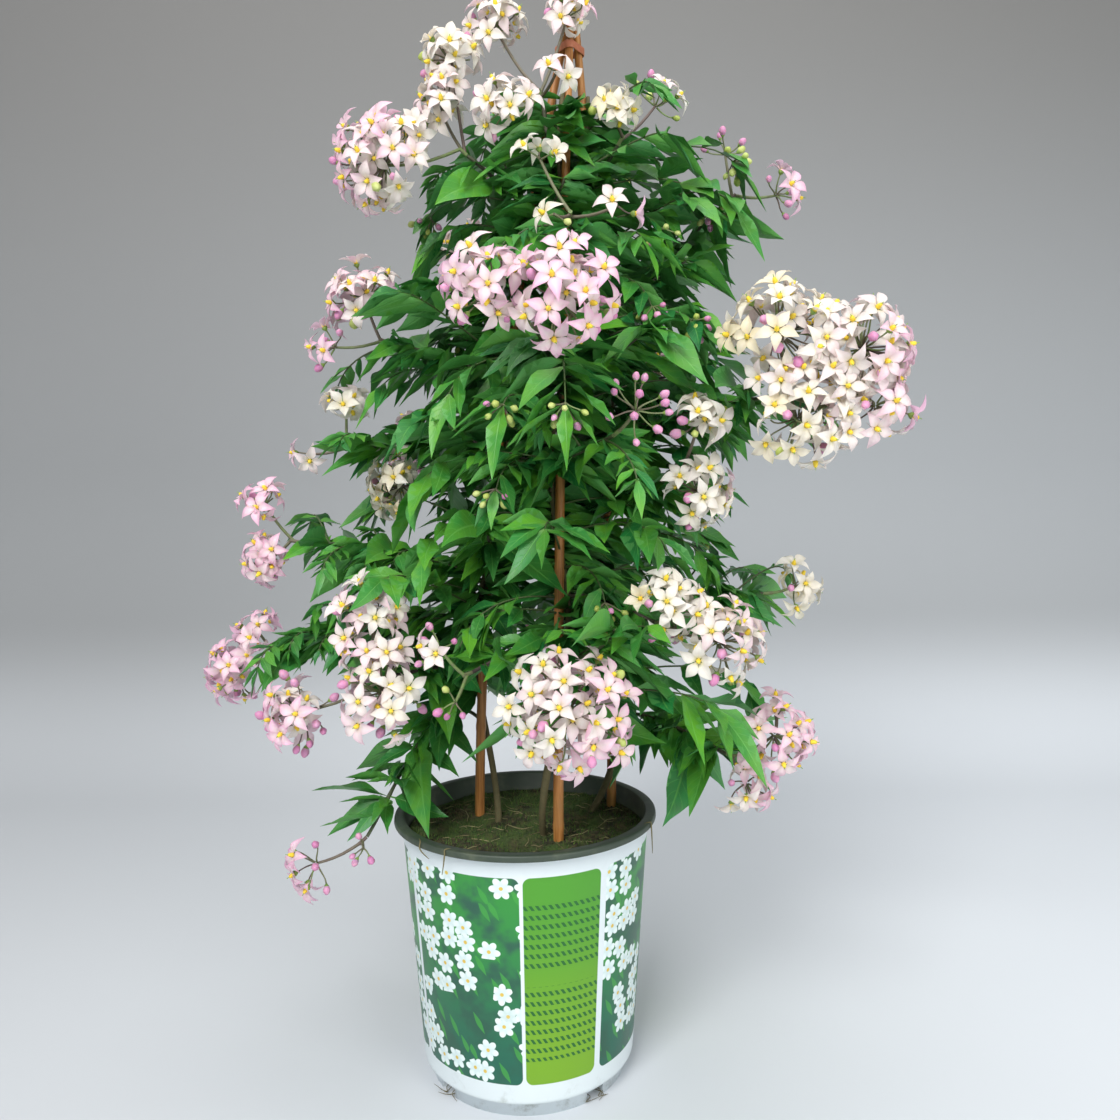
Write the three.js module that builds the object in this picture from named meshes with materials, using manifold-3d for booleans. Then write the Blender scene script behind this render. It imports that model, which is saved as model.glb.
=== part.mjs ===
// A potato vine in its nursery pot: a printed plastic pot filled with compost, three bowed bamboo canes
// tied together at the top, three woody stems climbing them, leafy boughs and heads of star-shaped blooms.
// Millimetres, +Z up. The origin is on the pot's axis, on the flat pad that the pot stands on.
import * as THREE from "three";
import { ConvexHull } from "three/addons/math/ConvexHull.js";
import { mergeVertices } from "three/addons/utils/BufferGeometryUtils.js";
import Module from "manifold-3d";

const wasm = await Module();
wasm.setup();

// Driving dimensions of the pot and of what fills it
const RIM_RADIUS = 95;
const POT_HEIGHT = 186;
const LIP_HEIGHT = 4.5;
const BODY_TOP_RADIUS = 89.5;
const BODY_FOOT_RADIUS = 76.6;
const WALL = 2;
const FOOT_HEIGHT = 11;
const FOOT_RADIUS = 71;
const FOOT_RING_WIDTH = 5;
const CHANNEL_HEIGHT = 5;
const FLOOR = 2.5;
const PAD_RADIUS = 48;
const NOTCH_ANGLES = [-50, 41, 131, 221];
const NOTCH_WIDTH = 15;
const NOTCH_HEIGHT = 7;
const DRAIN_HOLES = 6;
const DRAIN_RADIUS = 4;
const ROUND_SIDES = 28;
const SOIL_TOP = 172;
const SOIL_RELIEF = 2.2;
const GAP = 0.35;

// Canes: base on the compost, bow outwards, and the side of the tie that each top leans on
const TOP = [41, 5, 742];
const TOP_SPREAD = 3.7;
const TIE_LEVEL = 727;
const TIE_WIDTH = 5;
const TIE_THICKNESS = 1.1;
const CANE_FOOT = 92;
const CANE_RADIUS = [3.7, 2.8];
const CANES = [
  { name: "front", base: [24, -34], bow: 6, lean: -105 },
  { name: "right", base: [65, 40], bow: 15, lean: 30 },
  { name: "left", base: [-36, 25], bow: 16, lean: 160 },
];

// Woody stems: each winds up its cane from a root crown in the compost
const VINE_RADIUS = [2.6, 1.3];
const VINE_TURNS = 2.5;
const VINE_CLEARANCE = 1;
const BOUGH_GAP = 0.55;
const VINE_FOOT = 150;
const VINE_END = 0.92;
const ROOT_SPREAD = 11;
const VINE_NODES = 11;
const VINE_TWIGS = 7;
const TWIG_LENGTH = [46, 86];

// Leaves and blooms
const LEAF_LENGTH = [44, 74];
const LEAF_WIDTH = 0.41;
const LEAF_RIB = 1.3;
const LEAF_HANG = [-0.55, 0.3];
const LEAF_SHORT = 46;
const LEAF_ROOM = 3.4;
const SOCKET = 2.6;
const STEM_ROOM = 3;
const BLOOM_RADIUS = 11.5;
const BLOOM_LEAST = 8.5;
const BLOOM_SHARE = 0.53;
const BLOOM_NOTCH = 0.5;
const BLOOM_ROOT = 1.5;
const CORE_SHARE = 0.48;
const STALK_RADIUS = 1.3;
const BLOOM_DOME = 0.8;
const BUD_RADIUS = 3.2;
const BUD_LENGTH = 4.5;
const HEAD_COVER = 0.54;
const HEAD_RELIEF = 0.16;
const GOLDEN_ANGLE = Math.PI * (3 - Math.sqrt(5));

// Flower heads: lobes are [x, y, z, outer radius, blooms, buds]; each head ends a bough that leaves a stem
// at a share of its height
const HEADS = [
  {
    name: "top", vine: "front", leave: 0.83, leaves: 3,
    lobes: [
      [-11, 0, 738, 22, 7, 0], [38, -16, 738, 17, 4, 0], [-3, -50, 664, 20, 6, 0],
      [30, -42, 690, 12, 2, 0],
    ],
  },
  {
    name: "top_left", vine: "left", leave: 0.78, leaves: 3,
    lobes: [[-86, -30, 636, 36, 18, 0], [-49, -12, 677, 18, 4, 0], [-42, -10, 713, 21, 6, 0]],
  },
  {
    name: "upper_front", vine: "front", leave: 0.7, leaves: 2,
    lobes: [[19, -66, 625, 15, 3, 0], [27, -95, 582, 12, 1, 1], [66, -84, 590, 13, 2, 0]],
  },
  {
    name: "upper_right", vine: "right", leave: 0.8, leaves: 3,
    lobes: [[68, -30, 669, 16, 3, 0], [99, 0, 685, 20, 2, 6]],
  },
  {
    name: "right_spray", vine: "right", leave: 0.66, leaves: 4,
    lobes: [[186, 10, 626, 18, 3, 4], [150, 10, 655, 16, 0, 6]],
  },
  {
    name: "centre", vine: "front", leave: 0.56, leaves: 2,
    lobes: [[30, -136, 522, 33, 14, 0], [-12, -128, 530, 26, 8, 0]],
  },
  {
    name: "left_upper", vine: "left", leave: 0.58, leaves: 4,
    lobes: [[-108, 0, 554, 27, 9, 0], [-130, 0, 521, 19, 3, 3]],
  },
  {
    name: "left_wisp", vine: "left", leave: 0.4, leaves: 5,
    lobes: [[-128, 20, 480, 18, 3, 0], [-155, 20, 447, 15, 2, 0]],
  },
  {
    name: "left_mid", vine: "left", leave: 0.33, leaves: 4,
    lobes: [[-180, 0, 372, 20, 5, 1], [-184, 0, 410, 17, 3, 0]],
  },
  {
    name: "left_inner", vine: "left", leave: 0.47, leaves: 3,
    lobes: [[-90, 24, 423, 26, 8, 1]],
  },
  {
    name: "left_outer", vine: "left", leave: 0.265, leaves: 4,
    lobes: [[-215, 20, 287, 24, 7, 0], [-198, 20, 315, 18, 3, 0]],
  },
  {
    name: "left_low", vine: "left", leave: 0.2, leaves: 3,
    lobes: [[-88, -74, 287, 28, 9, 0], [-96, -62, 334, 27, 8, 0], [-150, -40, 268, 28, 6, 6]],
  },
  {
    name: "front_buds", vine: "front", leave: 0.26, leaves: 2,
    lobes: [[-48, -92, 318, 16, 2, 4], [-38, -100, 286, 13, 0, 4]],
  },
  {
    name: "front_low", vine: "front", leave: 0.16, leaves: 3,
    lobes: [[32, -118, 283, 40, 24, 0]],
  },
  {
    name: "right_mid", vine: "front", leave: 0.3, leaves: 3,
    lobes: [[126, -92, 320, 28, 11, 0], [94, -92, 342, 24, 7, 0]],
  },
  {
    name: "right_small", vine: "right", leave: 0.28, leaves: 4,
    lobes: [[200, 12, 345, 18, 4, 0]],
  },
  {
    name: "right_low", vine: "right", leave: 0.13, leaves: 5,
    lobes: [[168, -60, 252, 27, 9, 0], [150, -58, 220, 19, 4, 0]],
  },
  {
    name: "right_big", vine: "right", leave: 0.5, leaves: 3,
    lobes: [
      [160, -104, 508, 33, 14, 0], [210, -106, 497, 31, 12, 0], [172, -104, 456, 30, 11, 0],
      [218, -106, 463, 24, 6, 0],
    ],
  },
  {
    name: "right_inner", vine: "right", leave: 0.4, leaves: 3,
    lobes: [[118, -62, 414, 23, 7, 0], [116, -84, 458, 16, 3, 2]],
  },
  {
    name: "bud_spray", vine: "front", leave: 0.44, leaves: 2,
    lobes: [[74, -110, 462, 22, 0, 12]],
  },
  {
    name: "low_left", vine: "left", leave: 0.12, leaves: 3, rise: 0.45,
    lobes: [[-146, -30, 158, 22, 4, 4], [-112, -34, 170, 12, 0, 4]],
  },
  {
    name: "back_top", vine: "left", leave: 0.7, leaves: 4,
    lobes: [[-40, 92, 610, 27, 9, 0]],
  },
  {
    name: "back_right", vine: "right", leave: 0.58, leaves: 5,
    lobes: [[108, 118, 520, 28, 10, 0]],
  },
  {
    name: "back_left", vine: "left", leave: 0.52, leaves: 5,
    lobes: [[-96, 112, 458, 25, 8, 0]],
  },
  {
    name: "back_low", vine: "right", leave: 0.22, leaves: 5,
    lobes: [[40, 158, 318, 30, 11, 0]],
  },
];

// Linear colours
const COLOURS = {
  pot: [0.74, 0.79, 0.81],
  soil: [0.045, 0.037, 0.018],
  cane: [0.45, 0.19, 0.06],
  tie: [0.6, 0.2, 0.1],
  leaf: [0.035, 0.17, 0.03],
  bloom: [0.87, 0.7, 0.78],
};

// Vectors are arrays of three numbers
const plus = (a, b, k = 1) => [a[0] + b[0] * k, a[1] + b[1] * k, a[2] + b[2] * k];
const minus = (a, b) => [a[0] - b[0], a[1] - b[1], a[2] - b[2]];
const times = (a, k) => [a[0] * k, a[1] * k, a[2] * k];
const dot = (a, b) => a[0] * b[0] + a[1] * b[1] + a[2] * b[2];
const cross = (a, b) => [a[1] * b[2] - a[2] * b[1], a[2] * b[0] - a[0] * b[2], a[0] * b[1] - a[1] * b[0]];
const size = (a) => Math.sqrt(dot(a, a));
const unit = (a) => times(a, 1 / size(a));
const mix = (a, b, t) => plus(times(a, 1 - t), b, t);
const radians = (degrees) => (degrees * Math.PI) / 180;
const UP = [0, 0, 1];

// The same run of random numbers from 0 to 1 for the same seed
function seeded(seed) {
  let state = seed * 7919 + 17;
  return () => {
    state = (state * 16807) % 2147483647;
    return state / 2147483647;
  };
}

function bezier(p, t) {
  const s = 1 - t;
  let sum = times(p[0], s * s * s);
  sum = plus(sum, p[1], 3 * s * s * t);
  sum = plus(sum, p[2], 3 * s * t * t);
  return plus(sum, p[3], t * t * t);
}

// A unit vector square to direction, turned by angle about it
function squareTo(direction, angle) {
  const across = Math.abs(direction[2]) > 0.92 ? [1, 0, 0] : UP;
  const u = unit(cross(direction, across));
  const v = cross(direction, u);
  return plus(times(u, Math.cos(angle)), v, Math.sin(angle));
}

// Layout: where every cane, stem, bough, leaf and bloom goes

function caneAt(cane, t) {
  const lean = radians(cane.lean);
  const top = [TOP[0] + TOP_SPREAD * Math.cos(lean), TOP[1] + TOP_SPREAD * Math.sin(lean), TOP[2]];
  const base = [...cane.base, SOIL_TOP];
  // In the compost a cane goes down straight, a little towards the middle
  if (t < 0) return plus(plus(base, UP, t * (TOP[2] - SOIL_TOP)), [...cane.base, 0], t * 0.5);
  const out = unit([cane.base[0] - TOP[0], cane.base[1] - TOP[1], 0]);
  return plus(mix(base, top, t), out, cane.bow * 4 * t * (1 - t));
}

const caneShare = (z) => (z - SOIL_TOP) / (TOP[2] - SOIL_TOP);
const caneRadius = (t) => CANE_RADIUS[0] + (CANE_RADIUS[1] - CANE_RADIUS[0]) * Math.max(0, t);
const vineRadius = (t) => VINE_RADIUS[0] + (VINE_RADIUS[1] - VINE_RADIUS[0]) * Math.max(0, t);

// A stem winds round its cane, and its foot swings in towards the middle of the pot
function vineAt(cane, t) {
  const inward = Math.atan2(-cane.base[1], -cane.base[0]);
  const turn = inward + 2 * Math.PI * VINE_TURNS * Math.max(0, t);
  const away = caneRadius(t) + vineRadius(t) + VINE_CLEARANCE + ROOT_SPREAD * Math.exp(-22 * Math.max(0, t));
  return plus(caneAt(cane, t), [Math.cos(turn), Math.sin(turn), 0], away);
}

// What is taken already: balls with an owner. A leaf or a stem is clear when its own balls touch none of
// another owner's
const taken = [];

function take(points, radius, owner, kind) {
  for (const p of points) taken.push({ p, radius, owner, kind });
}

function isClear(points, radius, own, kind) {
  for (const q of taken) {
    if (own.includes(q.owner) && q.kind !== kind) continue;
    const reach = q.radius + radius;
    for (const p of points) {
      const d = minus(p, q.p);
      if (dot(d, d) < reach * reach) return false;
    }
  }
  return true;
}

const along = (curve, count) => Array.from({ length: count + 1 }, (_, i) => curve(i / count));

// The peduncle's fork stands on the plant's side of a head. Blooms cover the outer half of each lobe
function layHead(head, index) {
  const cane = CANES.find((c) => c.name === head.vine);
  const owner = "head_" + head.name;
  const random = seeded(100 + index);
  const middle = times(head.lobes.reduce((sum, l) => plus(sum, l), [0, 0, 0]), 1 / head.lobes.length);
  const reach = Math.max(...head.lobes.map((l) => l[3]));
  const inward = unit(minus(vineAt(cane, head.leave), middle));
  const fork = plus(plus(middle, inward, reach * (head.lobes.length > 1 ? 0.8 : 0.9)), UP, -4);
  const entry = plus(fork, inward, 6);
  const front = head.name.startsWith("back") ? 0 : 0.9;
  const lobes = head.lobes.map(([x, y, z, radius, blooms, buds]) => {
    const hub = [x, y, z];
    const facing = unit(plus(plus(unit(minus(hub, fork)), inward, -0.8), [0, -1, 0.2], front));
    const core = Math.max(4.5, radius * CORE_SHARE);
    const wanted = blooms + buds;
    const sites = [];
    for (let i = 0; i < wanted; i++) {
      const rise = 1 - (2 * HEAD_COVER * (i + 0.5)) / wanted;
      const flat = squareTo(facing, i * GOLDEN_ANGLE + random() * 0.3);
      const direction = unit(plus(times(facing, rise), flat, Math.sqrt(Math.max(0, 1 - rise * rise))));
      const at = plus(hub, direction, radius - 1 - random() * HEAD_RELIEF * radius);
      const hidden = head.lobes.some((l) => size(minus(hub, l)) > 1 && size(minus(at, l)) < l[3] * 0.75);
      // Buds take the places nearest to the rim of the lobe
      const faced = unit(plus(direction, facing, 0.4));
      const spin = random() * 2 * Math.PI;
      if (!hidden) sites.push({ at, radial: direction, direction: faced, spin, bud: i >= blooms });
    }
    return { hub, radius, facing, core, sites };
  });
  // The first lobe's stalk carries on from the peduncle, and the others branch off one behind the other
  lobes.forEach((lobe, i) => {
    lobe.start = plus(fork, inward, Math.min(4.5, i * 2.2));
    lobe.tail = plus(lobe.hub, unit(minus(lobe.start, lobe.hub)), lobe.core * 0.7);
  });
  const all = lobes.flatMap((lobe) => lobe.sites);
  for (const site of all) {
    const near = Math.min(60, ...all.filter((o) => o !== site).map((o) => size(minus(o.at, site.at))));
    site.reach = Math.min(BLOOM_RADIUS, Math.max(BLOOM_LEAST, near * BLOOM_SHARE));
  }
  for (const lobe of lobes) take([lobe.hub], Math.hypot(lobe.radius - 3, BLOOM_RADIUS * 0.75), owner, "head");
  for (const lobe of lobes) take(along((s) => mix(fork, lobe.hub, s), 6), STEM_ROOM, owner, "head");
  take(along((s) => mix(entry, fork, s), 2), STEM_ROOM, owner, "head");
  return { ...head, owner, inward, fork, entry, lobes, facing: lobes[0].facing };
}

// A bough leaves its stem on the side of its head, never through the cane, and arches to the head
function layBough(head, index) {
  const cane = CANES.find((c) => c.name === head.vine);
  const owner = "bough_" + head.name;
  const own = [owner, "vine_" + head.vine, "cane_" + head.vine];
  for (let trial = 0; trial < 60; trial++) {
    const step = Math.ceil(trial / 2) * (trial % 2 ? 1 : -1);
    const t = head.leave + 0.006 * step;
    if (t < 0.045 || t > VINE_END - 0.01) continue;
    const axis = vineAt(cane, t);
    const away = unit([...minus(axis, caneAt(cane, t)).slice(0, 2), 0]);
    const wish = unit([...minus(head.entry, axis).slice(0, 2), 0]);
    const inline = dot(wish, away);
    if (inline < -0.75) continue;
    const out = inline > 0 ? wish : unit(plus(wish, away, 0.05 - inline));
    const start = plus(axis, out, vineRadius(t) + BOUGH_GAP);
    const end = plus(head.entry, head.inward, 0.45);
    const far = size(minus(end, start));
    const rise = (head.rise || 0.12) * far;
    const first = plus(plus(start, out, Math.min(60, far * 0.3)), UP, rise * 0.6);
    const last = plus(plus(end, head.inward, Math.min(50, far * 0.3)), UP, rise * 0.4);
    const line = (s) => bezier([start, first, last, end], s);
    const points = along(line, Math.ceil(far / 4));
    if (!isClear(points.slice(0, 4), 2, own)) continue;
    if (!isClear(points.slice(4, -1), 2, [owner, head.owner])) continue;
    take(points, STEM_ROOM - 1, owner, "stem");
    return { owner, head, index, line, far, leaves: [] };
  }
  throw new Error("no way for " + owner);
}

// Stations of a leaf: points on its rib and at its edges, used to keep it clear and to build it
function leafFrame(leaf) {
  const { base, direction, length, width, roll, droop } = leaf;
  const level = unit(cross(direction, UP));
  const side = plus(times(level, Math.cos(roll)), cross(direction, level), Math.sin(roll));
  const face = unit(cross(side, direction));
  const rib = (s) => plus(plus(base, direction, length * s), UP, -droop * length * s * s);
  const at = (s, across, lift) => plus(plus(rib(s), side, across * width * 0.5), face, lift * width * 0.5);
  return { at, side, face };
}

function leafBalls(leaf) {
  const { at } = leafFrame(leaf);
  const rib = [0.09, 0.18, 0.28, 0.38, 0.48, 0.58, 0.68, 0.78, 0.88, 0.97].map((s) => at(s, 0, 0));
  const edges = [0.28, 0.4, 0.55, 0.68].flatMap((s) => [at(s, 0.7, 0.1), at(s, -0.7, 0.1)]);
  return [...rib, ...edges];
}

// A leaf stands out from its stem and hangs a little, its face rolled to one side. It is turned round its
// stem until it is clear
function layLeaf(owner, line, s, tangent, angle, length, random, own) {
  const base = line(s);
  const hang = LEAF_HANG[0] + (LEAF_HANG[1] - LEAF_HANG[0]) * random();
  const droop = 0.1 + random() * 0.22;
  const roll = (random() < 0.5 ? -1 : 1) * (0.25 + 0.85 * random());
  for (let trial = 0; trial < 16; trial++) {
    const turn = angle + Math.ceil(trial / 2) * (trial % 2 ? 0.38 : -0.38);
    const out = plus(squareTo(tangent, turn), tangent, 0.35);
    const flat = Math.hypot(out[0], out[1]);
    if (flat < 0.3) continue;
    const rise = 0.4 * Math.max(-1, Math.min(1, out[2] / flat)) + hang + 0.05 * (trial % 3);
    const direction = unit([out[0] / flat, out[1] / flat, rise]);
    const grown = trial > 9 ? length * 0.8 : length;
    const leaf = { base, s, direction, length: grown, width: grown * LEAF_WIDTH, roll, droop };
    if (!isClear(leafBalls(leaf), LEAF_ROOM, [owner], "leaf")) continue;
    take(leafBalls(leaf), LEAF_ROOM, owner, "leaf");
    own.push(leaf);
    return;
  }
}

// A node of a stem bears a large leaf and a smaller one on the other side
function layPair(owner, line, s, tangent, angle, random, own) {
  const length = leafSize(line(s)[2], random);
  layLeaf(owner, line, s, tangent, angle, length, random, own);
  layLeaf(owner, line, s, tangent, angle + 2.2 + random(), length * 0.78, random, own);
}

function leafSize(z, random) {
  const low = 1 - Math.min(1, Math.max(0, (z - 200) / 520));
  return LEAF_LENGTH[0] + (LEAF_LENGTH[1] - LEAF_LENGTH[0]) * (0.35 * low + 0.65 * random());
}

// squareTo measures its angle from another axis, so a compass angle about +Z is turned to it
function leafTurn(compass) {
  const zero = squareTo(UP, 0);
  return compass - Math.atan2(zero[1], zero[0]);
}

const canesLaid = CANES.map((cane) => {
  take(along((s) => caneAt(cane, s), 120), caneRadius(0) + 1, "cane_" + cane.name, "stem");
  return cane;
});
const vines = CANES.map((cane, index) => {
  const owner = "vine_" + cane.name;
  take(along((s) => vineAt(cane, s * VINE_END), 110), 3.2, owner, "stem");
  return { owner, cane, index, twigs: [], leaves: [] };
});
take([[TOP[0], TOP[1], TIE_LEVEL]], 12, "cane_tie", "stem");
for (let i = 0; i < 48; i++) {
  const a = (2 * Math.PI * i) / 48;
  take([[RIM_RADIUS * Math.cos(a), RIM_RADIUS * Math.sin(a), POT_HEIGHT - 3]], 6, "pot", "stem");
  for (const r of [12, 28, 44, 60, 76]) {
    take([[r * Math.cos(a), r * Math.sin(a), SOIL_TOP - 7]], 9, "soil", "stem");
  }
}
const heads = HEADS.map(layHead);
const boughs = heads.map(layBough);

for (const bough of boughs) {
  const random = seeded(300 + bough.index);
  const count = bough.head.leaves;
  for (let i = 0; i < count; i++) {
    const s = 0.14 + (0.8 * (i + 0.5)) / count;
    const tangent = unit(minus(bough.line(s + 0.02), bough.line(s - 0.02)));
    layPair(bough.owner, bough.line, s, tangent, i * GOLDEN_ANGLE + random(), random, bough.leaves);
  }
}

// A side shoot goes out from a stem, away from the cane, where there is room for it
function layTwig(vine, t, random) {
  const axis = vineAt(vine.cane, t);
  const away = minus(axis, caneAt(vine.cane, t));
  const compass = Math.atan2(away[1], away[0]);
  const far = TWIG_LENGTH[0] + random() * (TWIG_LENGTH[1] - TWIG_LENGTH[0]);
  for (let trial = 0; trial < 12; trial++) {
    const turn = compass + Math.ceil(trial / 2) * (trial % 2 ? 0.25 : -0.25);
    const out = [Math.cos(turn), Math.sin(turn), 0];
    const tip = plus(plus(axis, out, far), UP, far * 0.35);
    const line = (s) => bezier([axis, plus(axis, out, far * 0.4), plus(tip, UP, -far * 0.1), tip], s);
    const points = along(line, 16);
    if (!isClear(points.slice(1), 3, [vine.owner])) continue;
    if (!isClear(points.slice(3), 3, [])) continue;
    take(points, STEM_ROOM - 1, vine.owner, "stem");
    const twig = { line, leaves: [] };
    vine.twigs.push(twig);
    for (const s of [0.92, 0.58]) {
      const tangent = unit(minus(line(s + 0.05), line(s - 0.05)));
      layPair(vine.owner, line, s, tangent, random() * 6, random, twig.leaves);
    }
    return;
  }
}

for (const vine of vines) {
  const random = seeded(500 + vine.index);
  for (let i = 0; i < VINE_TWIGS; i++) {
    layTwig(vine, 0.14 + 0.74 * Math.pow((i + 0.5) / VINE_TWIGS, 0.8), random);
  }
  const line = (s) => vineAt(vine.cane, s);
  for (let i = 0; i < VINE_NODES; i++) {
    const t = 0.12 + 0.79 * Math.pow((i + 0.8) / VINE_NODES, 0.8);
    const away = minus(line(t), caneAt(vine.cane, t));
    const turn = leafTurn(Math.atan2(away[1], away[0]) - 0.9 + (random() - 0.5) * 0.8);
    layPair(vine.owner, line, t, UP, turn, random, vine.leaves);
  }
}

// Solids

function solid(positions, triangles) {
  const made = (list) =>
    new wasm.Manifold(
      new wasm.Mesh({
        numProp: 3,
        vertProperties: new Float32Array(positions.flat()),
        triVerts: new Uint32Array(list.flat()),
      }),
    );
  const first = made(triangles);
  return first.volume() > 0 ? first : made(triangles.map(([a, b, c]) => [a, c, b]));
}

// A three.js geometry as a solid, its shared vertices merged
function solidOf(geometry) {
  const bare = new THREE.BufferGeometry().setAttribute("position", geometry.getAttribute("position"));
  if (geometry.index) bare.setIndex(geometry.index);
  const merged = mergeVertices(bare, 1e-4);
  return new wasm.Manifold(
    new wasm.Mesh({
      numProp: 3,
      vertProperties: merged.attributes.position.array,
      triVerts: new Uint32Array(merged.index.array),
    }),
  );
}

// One body from many: what is loose is dropped, and a hollow that fusing seals is filled
function fused(solids) {
  const bodies = wasm.Manifold.union(solids).decompose();
  return bodies.reduce((a, b) => (b.volume() > a.volume() ? b : a));
}

function lathe(profile) {
  const points = profile.map(([r, z]) => new THREE.Vector2(r, z));
  return new THREE.LatheGeometry(points, ROUND_SIDES).rotateX(Math.PI / 2);
}

// A tapering round bar along points
function barMesh(points, radii, sides) {
  const positions = [];
  const triangles = [];
  const last = points.length - 1;
  let across = null;
  points.forEach((p, i) => {
    const direction = unit(minus(points[Math.min(last, i + 1)], points[Math.max(0, i - 1)]));
    const flat = across ? minus(across, times(direction, dot(across, direction))) : squareTo(direction, 0);
    across = unit(flat);
    const other = cross(direction, across);
    for (let k = 0; k < sides; k++) {
      const a = (2 * Math.PI * k) / sides;
      const spoke = plus(times(across, Math.cos(a)), other, Math.sin(a));
      positions.push(plus(p, spoke, radii[i]));
    }
  });
  for (let i = 0; i < last; i++) {
    for (let k = 0; k < sides; k++) {
      const a = i * sides + k;
      const b = i * sides + ((k + 1) % sides);
      triangles.push([a, b, b + sides], [a, b + sides, a + sides]);
    }
  }
  for (let k = 1; k < sides - 1; k++) {
    const e = last * sides;
    triangles.push([0, k + 1, k], [e, e + k, e + k + 1]);
  }
  return { positions, triangles };
}

function bar(points, radii, sides) {
  const { positions, triangles } = barMesh(points, radii, sides);
  return solid(positions, triangles);
}

// Two rings joined by triangles, each ring a list of [index, point] in the same turn about an axis
function zipped(first, second, axis) {
  const u = squareTo(axis, 0);
  const v = cross(axis, u);
  const turned = (ring) => {
    const middle = times(ring.reduce((sum, [, p]) => plus(sum, p), [0, 0, 0]), 1 / ring.length);
    const list = ring.map(([i, p]) => [i, Math.atan2(dot(minus(p, middle), v), dot(minus(p, middle), u))]);
    list.sort((a, b) => a[1] - b[1]);
    return [...list, [list[0][0], list[0][1] + 2 * Math.PI]];
  };
  const [a, b] = [turned(first), turned(second)];
  const triangles = [];
  let [i, j] = [0, 0];
  while (i < first.length || j < second.length) {
    if (j === second.length || (i < first.length && a[i + 1][1] < b[j + 1][1])) {
      triangles.push([a[i][0], a[i + 1][0], b[j][0]]);
      i += 1;
    } else {
      triangles.push([a[i][0], b[j + 1][0], b[j][0]]);
      j += 1;
    }
  }
  return triangles;
}

// A leaf blade with a keel: it grows from four corners on its stem through two stations with waved
// edges to a tip
function leafSolid(leaf, foot) {
  const { at } = leafFrame(leaf);
  const keel = (-2 * LEAF_RIB) / leaf.width;
  const positions = [...foot];
  const short = [[0.45, 1, 1, 0.3, 0]];
  const long = [[0.36, 1, 1, 0.3, 0.1], [0.68, 0.68, 0.85, 0, 0.34]];
  for (const [s, half, rib, left, right] of leaf.length < LEAF_SHORT ? short : long) {
    positions.push(at(s, half, left), at(s, 0, keel * rib), at(s, -half, right));
  }
  const tip = positions.length;
  positions.push(at(1, 0, 0));
  const ring = (from, count) => positions.slice(from, from + count).map((p, i) => [from + i, p]);
  const triangles = [[2, 1, 0], [3, 2, 0], ...zipped(ring(0, 4), ring(4, 3), leaf.direction)];
  // The two faces under the blade are split the way the face above is, so that they don't cross it
  if (tip > 7) triangles.push([4, 5, 7], [5, 8, 7], [5, 6, 8], [6, 9, 8], [6, 4, 7], [6, 7, 9]);
  for (let k = 0; k < 3; k++) triangles.push([tip - 3 + k, tip - 3 + ((k + 1) % 3), tip]);
  return solid(positions, triangles);
}

// A stem along a line with its leaves: each leaf grows from one side of a short length of the stem
function stemSolids(line, count, radiusAt, sides, leaves, end = 1) {
  const step = 1 / count;
  const reach = (s) => SOCKET / 2 / Math.max(1, size(minus(line(s + 0.005), line(s - 0.005))) / 0.01);
  const nodes = [...new Set(leaves.map((leaf) => leaf.s))];
  const sockets = nodes.map((s) => [s - reach(s), s + reach(s)]);
  const spaced = Array.from({ length: count + 1 }, (_, i) => i * step * end);
  const clear = (s) => sockets.every(([a, b]) => s < a - step * 0.3 * end || s > b + step * 0.3 * end);
  const inner = spaced.filter((s, i) => i === 0 || clear(s));
  const stations = [...inner, ...sockets.flat()].sort((a, b) => a - b);
  const points = stations.map(line);
  const { positions, triangles } = barMesh(points, stations.map(radiusAt), sides);
  const used = [];
  const blades = leaves.map((leaf) => {
    const row = stations.indexOf(sockets[nodes.indexOf(leaf.s)][0]);
    const middle = times(plus(points[row], points[row + 1]), 0.5);
    let best = null;
    for (let k = 0; k < sides; k++) {
      const a = row * sides + k;
      const b = row * sides + ((k + 1) % sides);
      const foot = [a, b, b + sides, a + sides].map((n) => positions[n]);
      const out = minus(times(foot.reduce((sum, p) => plus(sum, p), [0, 0, 0]), 0.25), middle);
      const fit = dot(unit(out), leaf.direction);
      if (!used.includes(a) && (!best || fit > best.fit)) best = { fit, foot, a };
    }
    used.push(best.a);
    return leafSolid(leaf, best.foot);
  });
  return [solid(positions, triangles), ...blades];
}

// The three corners that a bloom or a bud shares with the core of its lobe
function rootCorners(site, lobe) {
  return [0, 1, 2].map((i) => {
    const out = squareTo(site.direction, site.spin + (2 * Math.PI * i) / 3);
    const flat = unit(plus(out, site.radial, -dot(out, site.radial)));
    return plus(lobe.hub, unit(plus(site.radial, flat, BLOOM_ROOT / lobe.core)), lobe.core);
  });
}

// A cap over a rim of points, narrowing below to three root corners. The cap is the given triangles
function capSolid(rim, cap, root) {
  const count = rim.length;
  const corner = (i) => count + (Math.round((i * 3) / count) % 3);
  const triangles = [[count, count + 1, count + 2], ...cap];
  for (let i = 0; i < count; i++) {
    const next = (i + 1) % count;
    triangles.push([i, next, corner(i)]);
    if (corner(i) !== corner(i + 1)) triangles.push([next, corner(i + 1), corner(i)]);
  }
  return solid([...rim, ...root], triangles);
}

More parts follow.
